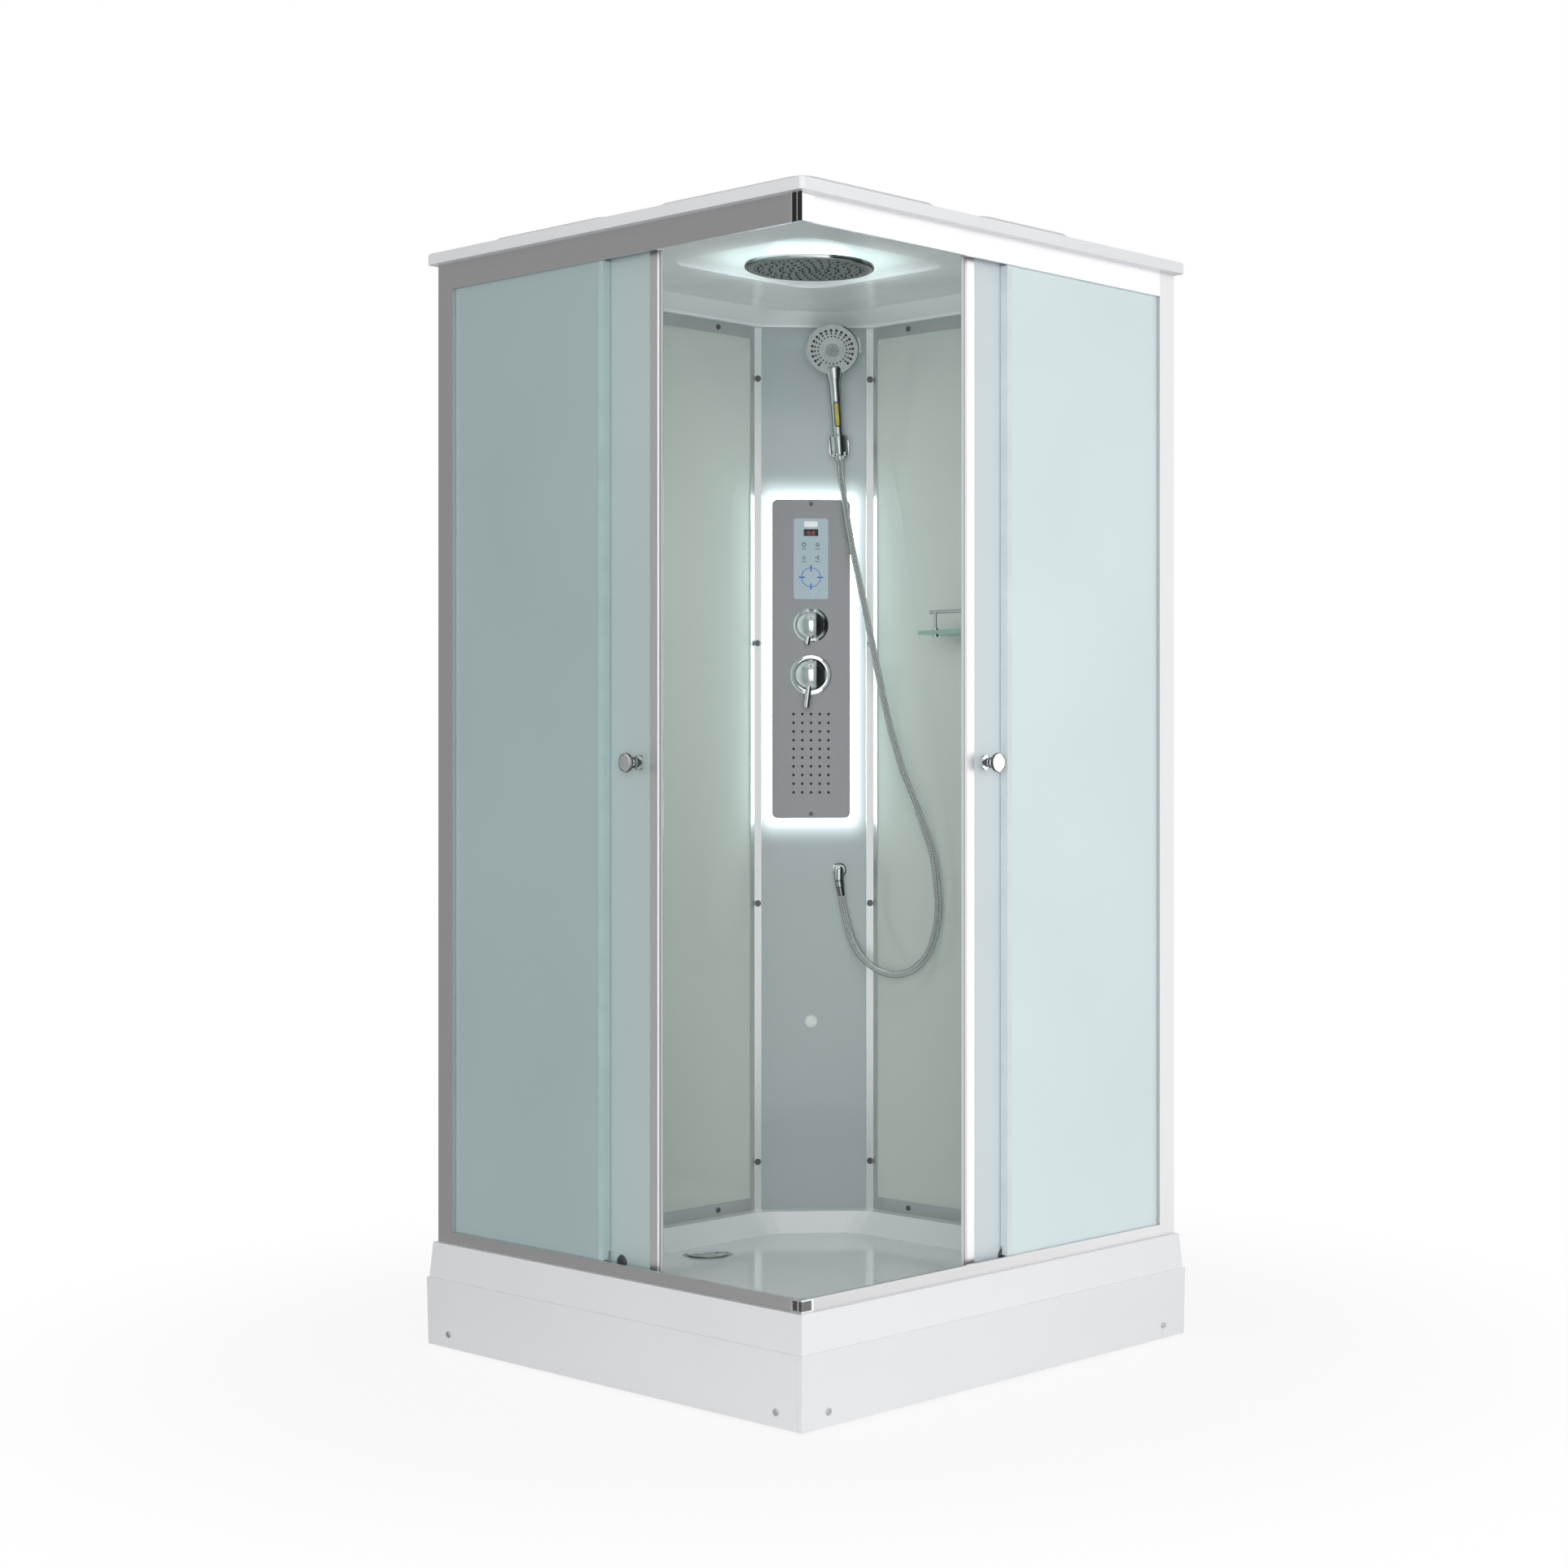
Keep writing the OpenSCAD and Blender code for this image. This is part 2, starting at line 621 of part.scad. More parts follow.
// Screw heads, in groups of their own solids
module screw_head(d, h)
  rotate_extrude() polygon([[0, 0], [d / 2, 0], [d / 2, h * 0.4], [d / 2 - h * 0.6, h], [0, h]]);
module cabin_screws() color("dimgray") {
  shank = 2.6;
  on_column() for (z = trim_screw_z, s = [-1, 1])
    translate([s * (column_half - trim_leg / 2), -trim_t, z]) rotate([90, 0, 0]) screw_head(13, 3);
  for (m = [0, 1]) mirror([m, m, 0]) {
    for (z = [ledge_z + rear_rail_h / 2, ceiling_edge_z - rear_rail_h / 2], y = rear_screw_ys)
      translate([-rail_in, y, z]) rotate([0, 90, 0]) {
        screw_head(11, 3);
        translate([0, 0, -shank]) cylinder(d = 3.8, h = shank);
      }
    for (z = post_screw_z)
      translate([-face + post_w, -face + frame_d - 6, z]) rotate([0, 90, 0]) screw_head(8, 2.4);
    for (s = [-1, 1])
      translate([s * screw_x, apron_face(screw_z) - gap, screw_z]) rotate([90, 0, 0]) {
        screw_head(12, 2.3);
        translate([0, 0, -9]) cylinder(d = 4.8, h = 9);
      }
  }
}
function apron_face(z) = -half + apron_lean * (apron_top - z) / apron_h - 0.2;

// Luminous border behind the control panel, and the light ring above the rain shower
module light_strips() color("azure") {
  on_column() translate([-fittings_off, 0, panel_z + panel_h / 2]) column_plate(0, border_t) difference() {
    rounded(panel_w + 2 * border_w, panel_h + 2 * border_w, 16);
    rounded(panel_w - 20, panel_h - 20, 10);
  }
  translate([0, 0, ceiling_z - 5]) rotate_extrude() strip(rain_d / 2 - 60, rain_d / 2 - 50, 0, 5);
}

// Control panel: a shallow folded tray of metal, with a spray chamber behind its rows of holes
spray_rows = 10;
spray_columns = 5;
port_z = spray_mid;
module control_panel() color("darkgray") on_column() translate([-fittings_off, 0, 0]) {
  wall = 2.5;
  mid = panel_z + panel_h / 2;
  chamber_w = spray_pitch * (spray_columns - 1) + 24;
  chamber_h = spray_pitch * (spray_rows - 1) + 24;
  difference() {
    union() {
      difference() {
        translate([0, 0, mid]) column_plate(border_t, panel_front) rounded(panel_w, panel_h, 12);
        translate([0, 0, mid]) column_plate(border_t - cut, panel_front - wall)
          rounded(panel_w - 2 * wall, panel_h - 2 * wall, 9.5);
      }
      translate([0, 0, spray_mid]) column_plate(2, panel_front - 1) rounded(chamber_w, chamber_h, 6);
      translate([0, 0, port_z]) column_rod(supply_d, -8, 4);
    }
    for (i = [0 : spray_columns - 1], j = [0 : spray_rows - 1])
      translate([(i - (spray_columns - 1) / 2) * spray_pitch, 0, (j - (spray_rows - 1) / 2) * spray_pitch])
        translate([0, 0, spray_mid]) column_rod(spray_d, panel_front - 5, panel_front + cut);
    translate([0, 0, mixer_z]) column_rod(neck_d + 2, 0, panel_front + cut);
    translate([0, 0, diverter_z]) column_rod(neck_d + 2, 0, panel_front + cut);
    translate([0, 0, keypad_mid]) column_plate(0, panel_front + cut) rounded(keypad_w - 7, keypad_h - 7, 3);
  }
  for (z = [panel_z + 9, panel_z + panel_h - 9])
    translate([0, -panel_front, z]) rotate([90, 0, 0]) screw_head(9, 2.5);
}
module control_keypad() color("lightblue") on_column() translate([-fittings_off, 0, keypad_mid]) {
  column_plate(border_t + 1, panel_front) rounded(keypad_w - 8, keypad_h - 8, 3);
  column_plate(panel_front, panel_front + 1.5) rounded(keypad_w, keypad_h, 5);
  translate([0, -panel_front - 1.5, -0.23 * keypad_h]) rotate([90, 0, 0])
    rotate_extrude() strip(20, 23, 0, 0.8);
}

// Mixer: the valve behind the column carries the rosette, the turning stem and the tilting handle
inlet_d = 20.96;
inlet_side = 32;
inlet_free = 18;
mixer_rest = 8;
diverter_rest = 12;
module mixer_valve() color("goldenrod") on_column() translate([-fittings_off, 0, 0]) {
  low = mixer_z - 36 + 0.1;
  high = diverter_z + 30 - 0.1;
  difference() {
    union() {
      translate([0, valve_back, low]) cylinder(d = 38, h = high - low);
      translate([0, 0, mixer_z]) column_rod(neck_d, -valve_back, panel_front + 5);
      translate([0, 0, mixer_z]) column_rod(spindle_d, 0, stem_front - 6);
      translate([0, 0, diverter_z]) column_rod(neck_d, -valve_back, panel_front - 0.5);
      translate([0, 0, diverter_z]) column_rod(spindle_d, 0, panel_front + 14);
      translate([-inlet_side, valve_back, mixer_z]) rotate([0, 90, 0]) cylinder(d = 20, h = 2 * inlet_side);
      for (s = [-1, 1]) translate([s * inlet_side, valve_back, mixer_z]) {
        sphere(d = 30);
        translate([0, 0, -inlet_reach]) cylinder(d = inlet_d, h = inlet_reach - 12);
        translate([0, 0, -inlet_reach + inlet_free]) cylinder(d = 24, h = inlet_reach - inlet_free - 11.5);
      }
    }
    for (s = [-1, 1])
      translate([s * inlet_side, valve_back, mixer_z - inlet_reach - cut]) cylinder(d = 12, h = inlet_reach);
  }
}
inlet_reach = 45;
module mixer_rosette() color("silver") on_column() translate([-fittings_off, 0, mixer_z]) rotate([90, 0, 0])
  translate([0, 0, panel_front]) rotate_extrude() polygon([
    [neck_d / 2 + 0.4, 0], [rosette_d / 2, 0], [rosette_d / 2, 2], [rosette_d / 2 - 1.6, 3.6],
    [rosette_d / 2 - 6, 4.6], [neck_d / 2 + 6, 6], [neck_d / 2 + 0.4, 6]
  ]);
module at_mixer() on_column() translate([-fittings_off, 0, mixer_z]) rotate([0, mixer_rest, 0]) children();
module mixer_stem() color("silver") at_mixer() difference() {
  rotate([90, 0, 0]) rotate_extrude() polygon([
    [0, panel_front + 6 + gap], [stem_d / 2, panel_front + 6 + gap], [stem_d / 2, stem_front - 4],
    [stem_d / 2 - 3, stem_front], [0, stem_front]
  ]);
  column_rod(spindle_d + 2 * pin_gap, 0, stem_front - 6 + gap);
  translate([-stem_d, -tilt_out, 0]) rotate([0, 90, 0])
    cylinder(d = tilt_pin_d + 2 * pin_gap, h = 2 * stem_d);
}
module mixer_handle() color("silver") at_mixer() {
  r = dome_d / 2;
  ri = r - 3.5;
  front = tilt_out + 32;
  difference() {
    rotate([90, 0, 0]) rotate_extrude() difference() {
      union() {
        strip(0, r, tilt_out + 4, tilt_out + 12);
        intersection() {
          translate([0, tilt_out + 12 - 17]) circle(r = 37.1, $fn = 96);
          strip(0, r, tilt_out + 12, front);
        }
      }
      intersection() {
        translate([0, tilt_out]) circle(r = ri, $fn = 96);
        strip(0, r, tilt_out, tilt_out + 26);
      }
      strip(-r, 0, 0, 100);
    }
    rotate([90, 0, 0]) translate([0, 0, tilt_out - 2]) cylinder(r = ri - 4, h = 10);
  }
  for (s = [-1, 1]) {
    translate([s * 12, -tilt_out, 0]) rotate([0, s * 90, 0]) cylinder(d = tilt_pin_d, h = ri - 11);
    translate([s * (stem_d / 2 + 1), -tilt_out, 0]) rotate([0, s * 90, 0])
      cylinder(d = 10, h = ri - stem_d / 2 - 0.5);
    translate([s * (ri - 3) - 2, -tilt_out - 7, -5]) cube([4, 7, 10]);
  }
  translate([0, -tilt_out - 18, -23]) rotate([180 + 7, 0, 0]) lever(13, 46);
}
// A round lever with a rounded end
module lever(d, h)
  rotate_extrude() polygon([[0, 0], [d / 2 - 1, 0], [d / 2, h - 2], [d / 2 - 1.5, h], [0, h]]);

module diverter_knob() color("silver") on_column() translate([-fittings_off, 0, diverter_z]) {
  base = panel_front + gap;
  difference() {
    rotate([90, 0, 0]) rotate_extrude() {
      polygon([
        [0, base], [diverter_d / 2, base], [diverter_d / 2, base + 2], [diverter_d / 2 - 3, base + 5],
        [28, base + 7], [27, base + 16], [0, base + 16]
      ]);
      intersection() {
        translate([0, base - 6]) circle(r = 34.8, $fn = 96);
        strip(0, 30, base + 15, base + 40);
      }
    }
    column_rod(spindle_d + 2 * pin_gap, 0, panel_front + 14 + gap);
  }
  rotate([0, diverter_rest, 0]) translate([0, -base - 14, -18]) rotate([180 + 6, 0, 0]) lever(12, 24);
}

// Water pipes behind the column and over the roof
over_roof = seat_z + deck_h + supply_d / 2 + 2;
module supply_pipes() color("peru") {
  on_column() {
    x = -fittings_off;
    pipe_run([
      [x, valve_back, mixer_z - 36], [x, valve_back, elbow_z], [hose_side, valve_back, elbow_z],
      [hose_side, column_t + 8, elbow_z]
    ], supply_d);
    pipe_run([[x, valve_back, port_z], [x, 8, port_z]], supply_d - 2);
  }
  x = -col_c - (fittings_off + valve_back) * sqrt(0.5);
  y = col_c - (fittings_off - valve_back) * sqrt(0.5);
  pipe_run([[x, y, diverter_z + 30], [x, y, over_roof], [0, 0, over_roof], [0, 0, ceiling_z]], supply_d);
}

// Hose, its elbow and the holder
elbow_out = 26;
collar_lean = 9;
module hose_elbow() color("silver") on_column() translate([hose_side, 0, elbow_z]) {
  rotate([90, 0, 0]) rotate_extrude() polygon([[0, 0], [15, 0], [15, 1.5], [13, 3.5], [11, 4], [0, 4]]);
  column_rod(supply_d, -column_t - 8, 1);
  column_rod(20, 0, elbow_out);
  translate([0, -elbow_out, 0]) sphere(d = 20);
  translate([0, -elbow_out, -18]) cylinder(d = 20, h = 18);
  translate([0, -elbow_out, -20]) rotate([180, -collar_lean, 0]) rotate_extrude() polygon([
    [0, -6], [8, -6], [9, 2], [9, 14], [8, 15], [hose_d / 2 + 1, 16], [hose_d / 2 + 0.5, 32], [0, 32]
  ]);
}

// The hose hangs in a loop between the elbow's collar and the handset's foot.
// Points in the column's frame: to the right, out of the wall, above the elbow at the drawn height.
hose_points = [
  [57.1, 26, -52.1], [60.2, 26.4, -72], [65.5, 30, -96], [74, 39, -129], [88, 54, -160],
  [103, 67, -179], [123, 83, -196], [145, 99, -206], [169, 114, -209], [198, 132, -200],
  [219, 144, -182], [233, 152, -162], [244, 159, -131], [250.5, 163, -97], [252.5, 165, -64],
  [250, 165, -28], [241, 160, 40], [213, 149, 123], [182, 136, 204], [158, 123, 288],
  [139, 110, 372], [122, 97, 455], [108.5, 85.5, 522], [95, 74, 589], [85, 66, 635], [74.5, 57, 694],
  [64, 48.5, 759], [56.5, 43.5, 810], [54.6, 42.8, 840.9], [53.5, 45.7, 856]
];
hose_span = (cradle_z - elbow_z) / 878;
hose_sides = 10;
function hermite(a, b, ta, tb, t) =
  (2 * t * t * t - 3 * t * t + 1) * a + (t * t * t - 2 * t * t + t) * ta
  + (3 * t * t - 2 * t * t * t) * b + (t * t * t - t * t) * tb;
function tangent_at(p, i) = i == 0 ? p[1] - p[0]
  : i == len(p) - 1 ? p[i] - p[i - 1] : (p[i + 1] - p[i - 1]) / 2;
function smooth_path(p, n) = concat(
  [for (i = [0 : len(p) - 2], j = [0 : n - 1])
    hermite(p[i], p[i + 1], tangent_at(p, i), tangent_at(p, i + 1), j / n)],
  [p[len(p) - 1]]
);
function unit(v) = v / norm(v);
function ring_points(centre, dir, d, sides) =
  let (side = unit(cross(dir, [0.35, 1, 0])), up = cross(side, dir))
  [for (k = [0 : sides - 1]) centre + d / 2 * (cos(360 * k / sides) * side + sin(360 * k / sides) * up)];
module swept_tube(path, d, sides) {
  last = len(path) - 1;
  rings = [for (i = [0 : last])
    each ring_points(path[i], unit(path[min(i + 1, last)] - path[max(i - 1, 0)]), d, sides)];
  walls = [for (i = [0 : last - 1], k = [0 : sides - 1])
    let (a = i * sides + k, b = i * sides + (k + 1) % sides)
    each [[a, b, b + sides], [a, b + sides, a + sides]]];
  first_end = [for (k = [1 : sides - 2]) [0, k + 1, k]];
  last_end = [for (k = [1 : sides - 2]) [last * sides, last * sides + k, last * sides + k + 1]];
  polyhedron(rings, concat(walls, first_end, last_end));
}
module shower_hose() color("silver") on_column() {
  route = [for (p = hose_points) [p[0], -p[1], elbow_z + p[2] * hose_span]];
  swept_tube(smooth_path(route, 3), hose_d, hose_sides);
}

// Handset frame: Z runs up the handle, -Y looks out of the head
side_lean = 4;
module at_cradle() on_column() translate([hose_side, -cradle_out, cradle_z]) children();
module at_handset() at_cradle() rotate([handset_lean, -side_lean, 0]) children();
module at_head() at_handset() translate([0, -head_out, head_up]) rotate([90 + head_tilt, 0, 0]) children();
module holder_bracket() color("silver") on_column() translate([hose_side, 0, cradle_z]) {
  pivot = cradle_out - swivel_back;
  column_plate(0, 4) rounded(40, holder_h, 14);
  column_rod(22, 0, 12);
  translate([-5, -pivot, -7]) cube([10, pivot - 11, 14]);
  translate([-5, -pivot, 0]) rotate([0, 90, 0]) cylinder(d = 14, h = 10);
  translate([-12, -pivot, 0]) rotate([0, 90, 0]) cylinder(d = swivel_d, h = 24);
}
grip_r = 11;
cradle_h = 36;
module holder_cradle() color("silver") {
  at_handset() difference() {
    union() {
      translate([0, 0, -cradle_h / 2]) cylinder(r = grip_r + 7, h = cradle_h);
      for (s = [-1, 1]) translate([s * 11, -grip_r - 1, -cradle_h / 2]) sphere(d = 11);
    }
    translate([0, 0, -cradle_h]) cylinder(r1 = grip_r - 1.7 + gap, r2 = grip_r + 0.7 + gap, h = 2 * cradle_h);
    translate([-hose_d / 2 - 1, -40, -cradle_h]) cube([hose_d + 2, 40, 2 * cradle_h]);
  }
  at_cradle() difference() {
    for (s = [-1, 1]) translate([s * 5.3, swivel_back, 0]) rotate([0, s * 90, 0]) {
      cylinder(d = 16, h = 5.5);
      translate([-4, -swivel_back + grip_r + 2, 0]) cube([8, swivel_back - grip_r - 2, 5.5]);
    }
    translate([-20, swivel_back, 0]) rotate([0, 90, 0]) cylinder(d = swivel_d + 2 * pin_gap, h = 40);
  }
}
head_up = 196;
head_out = 5;
neck_up = 124;
// Rings of nozzles: radius, how many, and their diameter
head_rings = [[5, 6, 2], [11, 12, 2], [29, 24, 2.4], [35.6, 24, 2.8], [41.6, 24, 4.4]];
module handset() color("silver") {
  at_handset() {
    rotate_extrude() polygon([
      [0, -22], [grip_r - 3, -22], [grip_r - 1.15, -18], [grip_r + 0.1, 18], [grip_r - 1.2, 23],
      [grip_r + 0.4, 96], [grip_r + 0.4, 115], [grip_r + 1, neck_up + 5], [grip_r + 1.2, neck_up + 11],
      [0, neck_up + 21]
    ]);
    translate([0, 0, neck_up]) rotate([-12, 0, 0]) rotate_extrude() polygon([
      [0, 0], [grip_r + 1, 0], [14, 10], [16.5, 22], [18, 30], [16, 34], [8, 37], [0, 37.5]
    ]);
  }
  at_head() {
    rotate_extrude() polygon([
      [0, -15], [head_d / 2 - 22, -13], [head_d / 2 - 8, -7], [head_d / 2 - 1.5, 0], [head_d / 2, 3],
      [head_d / 2, 6], [head_d / 2 - 2, 8], [head_d / 2 - 5, 8.5], [0, 9.5]
    ]);
    for (ring = head_rings, k = [0 : ring[1] - 1]) let (a = 360 * k / ring[1])
      if (ring[0] < 30 || abs(a - 270) > 35)
        translate([ring[0] * cos(a), ring[0] * sin(a), 7]) cylinder(d = ring[2], h = 3.1);
  }
}
module spray_selector() color("gray") at_head() {
  r = head_d / 2 + 0.4;
  linear_extrude(5) difference() {
    intersection() {
      circle(r = r + 5, $fn = 96);
      polygon([[0, 0], [80, -80 * tan(11)], [80, 80 * tan(21)]]);
    }
    circle(r = r, $fn = 96);
  }
}

// Rain shower
module rain_shower() color("silver") {
  z0 = seat_z + rain_z;
  r = rain_d / 2;
  translate([0, 0, z0]) rotate_extrude() difference() {
    polygon([
      [0, 0], [r - 4, 0], [r - 1, 1.5], [r, 4], [r - 1, rain_t - 1], [r - 5, rain_t],
      [rain_neck_d / 2 + 6, rain_t + 2.5], [rain_neck_d / 2, ceiling_h - rain_z], [0, ceiling_h - rain_z]
    ]);
    strip(-cut, r - 8.5, -cut, 2.5);
  }
}
module rain_face() color("gray") translate([0, 0, seat_z + rain_z]) {
  r = rain_d / 2 - 8.5 - gap;
  rotate_extrude() polygon([[0, -0.6], [r - 34, -0.6], [r - 33, 0], [r, 0], [r, 2.5], [0, 2.5]]);
  for (ring = [[12, 6], [30, 12], [50, 18], [88, 24], [102, 30]]) for (k = [0 : ring[1] - 1])
    rotate([0, 0, 360 * k / ring[1]]) translate([ring[0], 0, -2]) cylinder(d = 3, h = 3);
}

// Roof: a moulded cap with a rim, raised pads and a hollow ceiling
module roof_pad(x0, x1, y0, y1) {
  z0 = seat_z + deck_h - 1;
  z1 = seat_z + pad_h;
  slope = 22;
  hull() {
    for (x = [x0 + 30, x1 - 30], y = [y0 + 30, y1 - 30])
      translate([x, y, z0]) cylinder(r = 30, h = 0.5, $fn = 24);
    for (x = [x0 + 30 + slope, x1 - 30 - slope], y = [y0 + 30 + slope, y1 - 30 - slope])
      translate([x, y, z1 - 0.5]) cylinder(r = 30, h = 0.5, $fn = 24);
  }
}
module roof_panel() color("white") {
  drop_off = 2 * col_c - 12;
  ceiling_rear = rail_in - 10;
  ceiling_front = inner - 5;
  rim_r = 8;
  difference() {
    union() {
      translate([0, 0, seat_z]) linear_extrude(rim_h - 2) rounded(cabin_w, cabin_w, rim_r);
      translate([0, 0, seat_z + rim_h - 2]) linear_extrude(2) rounded(cabin_w - 3, cabin_w - 3, rim_r);
      leaning_block(half - 8, seat_z + rim_h - 1, half - 45, seat_z + deck_h);
      block(-upstand, inner - gap, -inner + gap, upstand, ceiling_edge_z, seat_z + cut);
      roof_pad(14, pad_out, -pad_out, -60);
      roof_pad(-pad_out - 20, -73, -pad_out, -60);
      roof_pad(60, pad_out, 3, pad_out - 130);
    }
    hull() {
      bowl_level(ceiling_rear, ceiling_front, drop_off, 70, ceiling_edge_z - cut);
      bowl_level(ceiling_rear - 4, ceiling_front - 4, drop_off - 4, 66, ceiling_edge_z + 4);
      bowl_level(ceiling_rear - 60, ceiling_front - 60, drop_off - 60, 70, seat_z + 6);
      bowl_level(ceiling_rear - 130, ceiling_front - 130, drop_off - 130, 90, seat_z + 10);
    }
    translate([0, 0, seat_z]) linear_extrude(ceiling_h) rounded(rain_d + 143, rain_d + 143, 60);
    translate([0, 0, seat_z]) cylinder(d = supply_d + 2, h = pad_h);
    on_column() translate([-fittings_off, valve_back, ceiling_edge_z - cut]) cylinder(d = supply_d + 2, h = 80);
  }
}
pad_out = half - 70;

// Glass shelf on the right rear pane
module glass_shelf() color("lightcyan", 0.6) {
  r = 14;
  y0 = pane_in - 6 - shelf_d;
  translate([-shelf_left + shelf_w / 2, y0 + shelf_d / 2, shelf_z]) difference() {
    linear_extrude(shelf_t) {
      translate([0, r / 2]) square([shelf_w, shelf_d - r], center = true);
      square([shelf_w - 2 * r, shelf_d], center = true);
      for (s = [-1, 1]) translate([s * (shelf_w / 2 - r), -shelf_d / 2 + r]) circle(r);
    }
    for (s = [-1, 1])
      translate([s * (shelf_w / 2 - post_in), -shelf_d / 2 + 12, -cut]) cylinder(d = 6.4, h = shelf_t + 2 * cut);
  }
}
post_in = 45;
module shelf_rail() color("silver") {
  y0 = pane_in - 6 - shelf_d + 12;
  top = shelf_z + shelf_t + shelf_rail_h;
  ends = [-shelf_left + post_in, -shelf_left + shelf_w - post_in];
  for (x = ends) {
    translate([x, y0, shelf_z - 5]) cylinder(d = 6, h = top - shelf_z + 5);
    translate([x, y0, shelf_z - 5]) cylinder(d = 12, h = 5);
    translate([x, y0, shelf_z + shelf_t]) cylinder(d = 12, h = 4);
    translate([x, pane_in - 24, shelf_z + shelf_t / 2]) shelf_clamp();
  }
  translate([ends[0] - 12, y0, top]) rotate([0, 90, 0]) cylinder(d = 6, h = ends[1] - ends[0] + 24);
  for (x = [ends[0] - 12, ends[1] + 12]) translate([x, y0, top]) sphere(d = 8);
}
// A wall clamp holds the rear edge of the shelf between two jaws
module shelf_clamp() {
  jaw = 6;
  difference() {
    union() {
      translate([-10, -6, -shelf_t / 2 - jaw]) cube([20, 26, shelf_t + 2 * jaw]);
      translate([0, 20, 0]) rotate([-90, 0, 0]) cylinder(d = 26, h = 4);
    }
    translate([-20, -20, -shelf_t / 2]) cube([40, 38, shelf_t]);
  }
}

// White cap that closes the spare hole of the column
module jet_cap() color("white") on_column() translate([-fittings_off, 0, cap_z]) {
  rotate([90, 0, 0]) rotate_extrude() polygon([
    [0, 0], [cap_d / 2, 0], [cap_d / 2, 1.2], [cap_d / 2 - 3, 3], [0, 3.6]
  ]);
  column_rod(cap_d - 6.6, -column_t, 0);
}

// Doors. Back runs from the closing edge, and the door stands open by its travel.
module door_place(open) translate([-open, 0, 0]) children();
door_origin = door_mid;
module door_glass() difference() {
  along_front(door_origin + magnet_w + 8, door_origin + door_w)
    strip(door_in, door_in + glass_t, door_bottom, door_top);
  door_holes();
}
module door_holes() {
  for (b = [lead_back, tail_back], z = [low_wheel_z, top_wheel_z])
    at_door(b, door_in - cut, z) cylinder(d = hanger_hole, h = glass_t + 2);
  at_door(knob_back, door_in - cut, knob_z) cylinder(d = hanger_hole, h = glass_t + 2);
}
hanger_hole = 10;
module at_door(back, depth, z)
  translate([face - door_origin - back, -face + depth, z]) rotate([-90, 0, 0]) children();
module door_profile() {
  t = 1.6;
  d0 = -face + door_in - 4;
  d1 = -face + door_in + glass_t + 4;
  x = face - door_origin;
  z = threshold_z + lip_h + 1;
  top = seat_z - shelf_drop - 4;
  seam = magnet_w;
  translate([0, 0, z]) linear_extrude(top - z) {
    difference() {
      strip(x - seam - edge_w, x - seam, d0, d1);
      strip(x - seam - edge_w - cut, x - seam - 8, -face + door_in, -face + door_in + glass_t);
      strip(x - seam - 8 + t, x - seam - t, d0 + t, d1 - t);
      strip(x - seam - edge_w + 2 * t, x - seam - 8 - t, d0 + t, -face + door_in - t);
      strip(x - seam - edge_w + 2 * t, x - seam - 8 - t, -face + door_in + glass_t + t, d1 - t);
    }
  }
  translate([0, 0, z]) linear_extrude(top - z - 5) polygon([
    [x - seam, d0 + 2], [x + magnet_t / 2 - gap, -face + door_mid - magnet_t / 2],
    [x - magnet_t / 2 - gap, -face + door_mid + magnet_t / 2], [x - seam, d1 - 2]
  ]);
}
module door_knob() at_door(knob_back, door_in - 36, knob_z) {
  r = knob_d / 2;
  rotate_extrude() polygon([
    [0, 0], [r - 4, 0.6], [r - 1, 2], [r, 4.5], [r - 0.6, 7.5], [r - 6, 10], [7.5, 13], [7.5, 20], [9.5, 21],
    [9.5, 23], [7.5, 24], [8, 30], [13, 32], [13, 36], [4.8, 36], [4.8, 36 + glass_t], [13, 36 + glass_t],
    [13, 40 + glass_t], [8, 42 + glass_t], [7.5, 52 + glass_t], [r - 6, 56 + glass_t],
    [r - 0.6, 58.5 + glass_t], [r, 61 + glass_t], [r - 3, 64 + glass_t], [0, 65 + glass_t]
  ]);
}
module hanger(back, z, up) {
  at_door(back, door_in - 4, z) {
    rotate_extrude() polygon([
      [0, 0], [9, 0], [12, 2], [12, 4], [4.8, 4], [4.8, 4 + glass_t], [0, 4 + glass_t]
    ]);
    translate([0, 0, 4 + glass_t - 0.5]) cylinder(d = 9.6, h = 0.5);
    translate([0, 0, 4 + glass_t]) cylinder(d = 16, h = 2);
    translate([0, 0, 5 + glass_t]) cylinder(d = axle_d, h = roller_w + 2.6);
    translate([0, 0, 6.6 + glass_t + roller_w]) cylinder(d = axle_d + 2.4, h = 1);
  }
  translate([0, 0, up]) at_door(back, door_in - 3.8, z) cylinder(d = 7, h = 3.2);
}
module door_hangers() for (b = [lead_back, tail_back]) {
  hanger(b, low_wheel_z, 10);
  hanger(b, top_wheel_z, -12.5);
}
module roller(back, z) at_door(back, wheel_mid - roller_w / 2, z) rotate_extrude() polygon([
  [axle_d / 2 + pin_gap, 0], [roller_r - 0.5, 0], [roller_r, 0.4], [roller_r - 0.3, 0.9],
  [groove_r + 0.3, 1.1], [groove_r, 1.4], [groove_r, roller_w - 1.4], [groove_r + 0.3, roller_w - 1.1],
  [roller_r - 0.3, roller_w - 0.9], [roller_r, roller_w - 0.4], [roller_r - 0.5, roller_w],
  [axle_d / 2 + pin_gap, roller_w]
]);

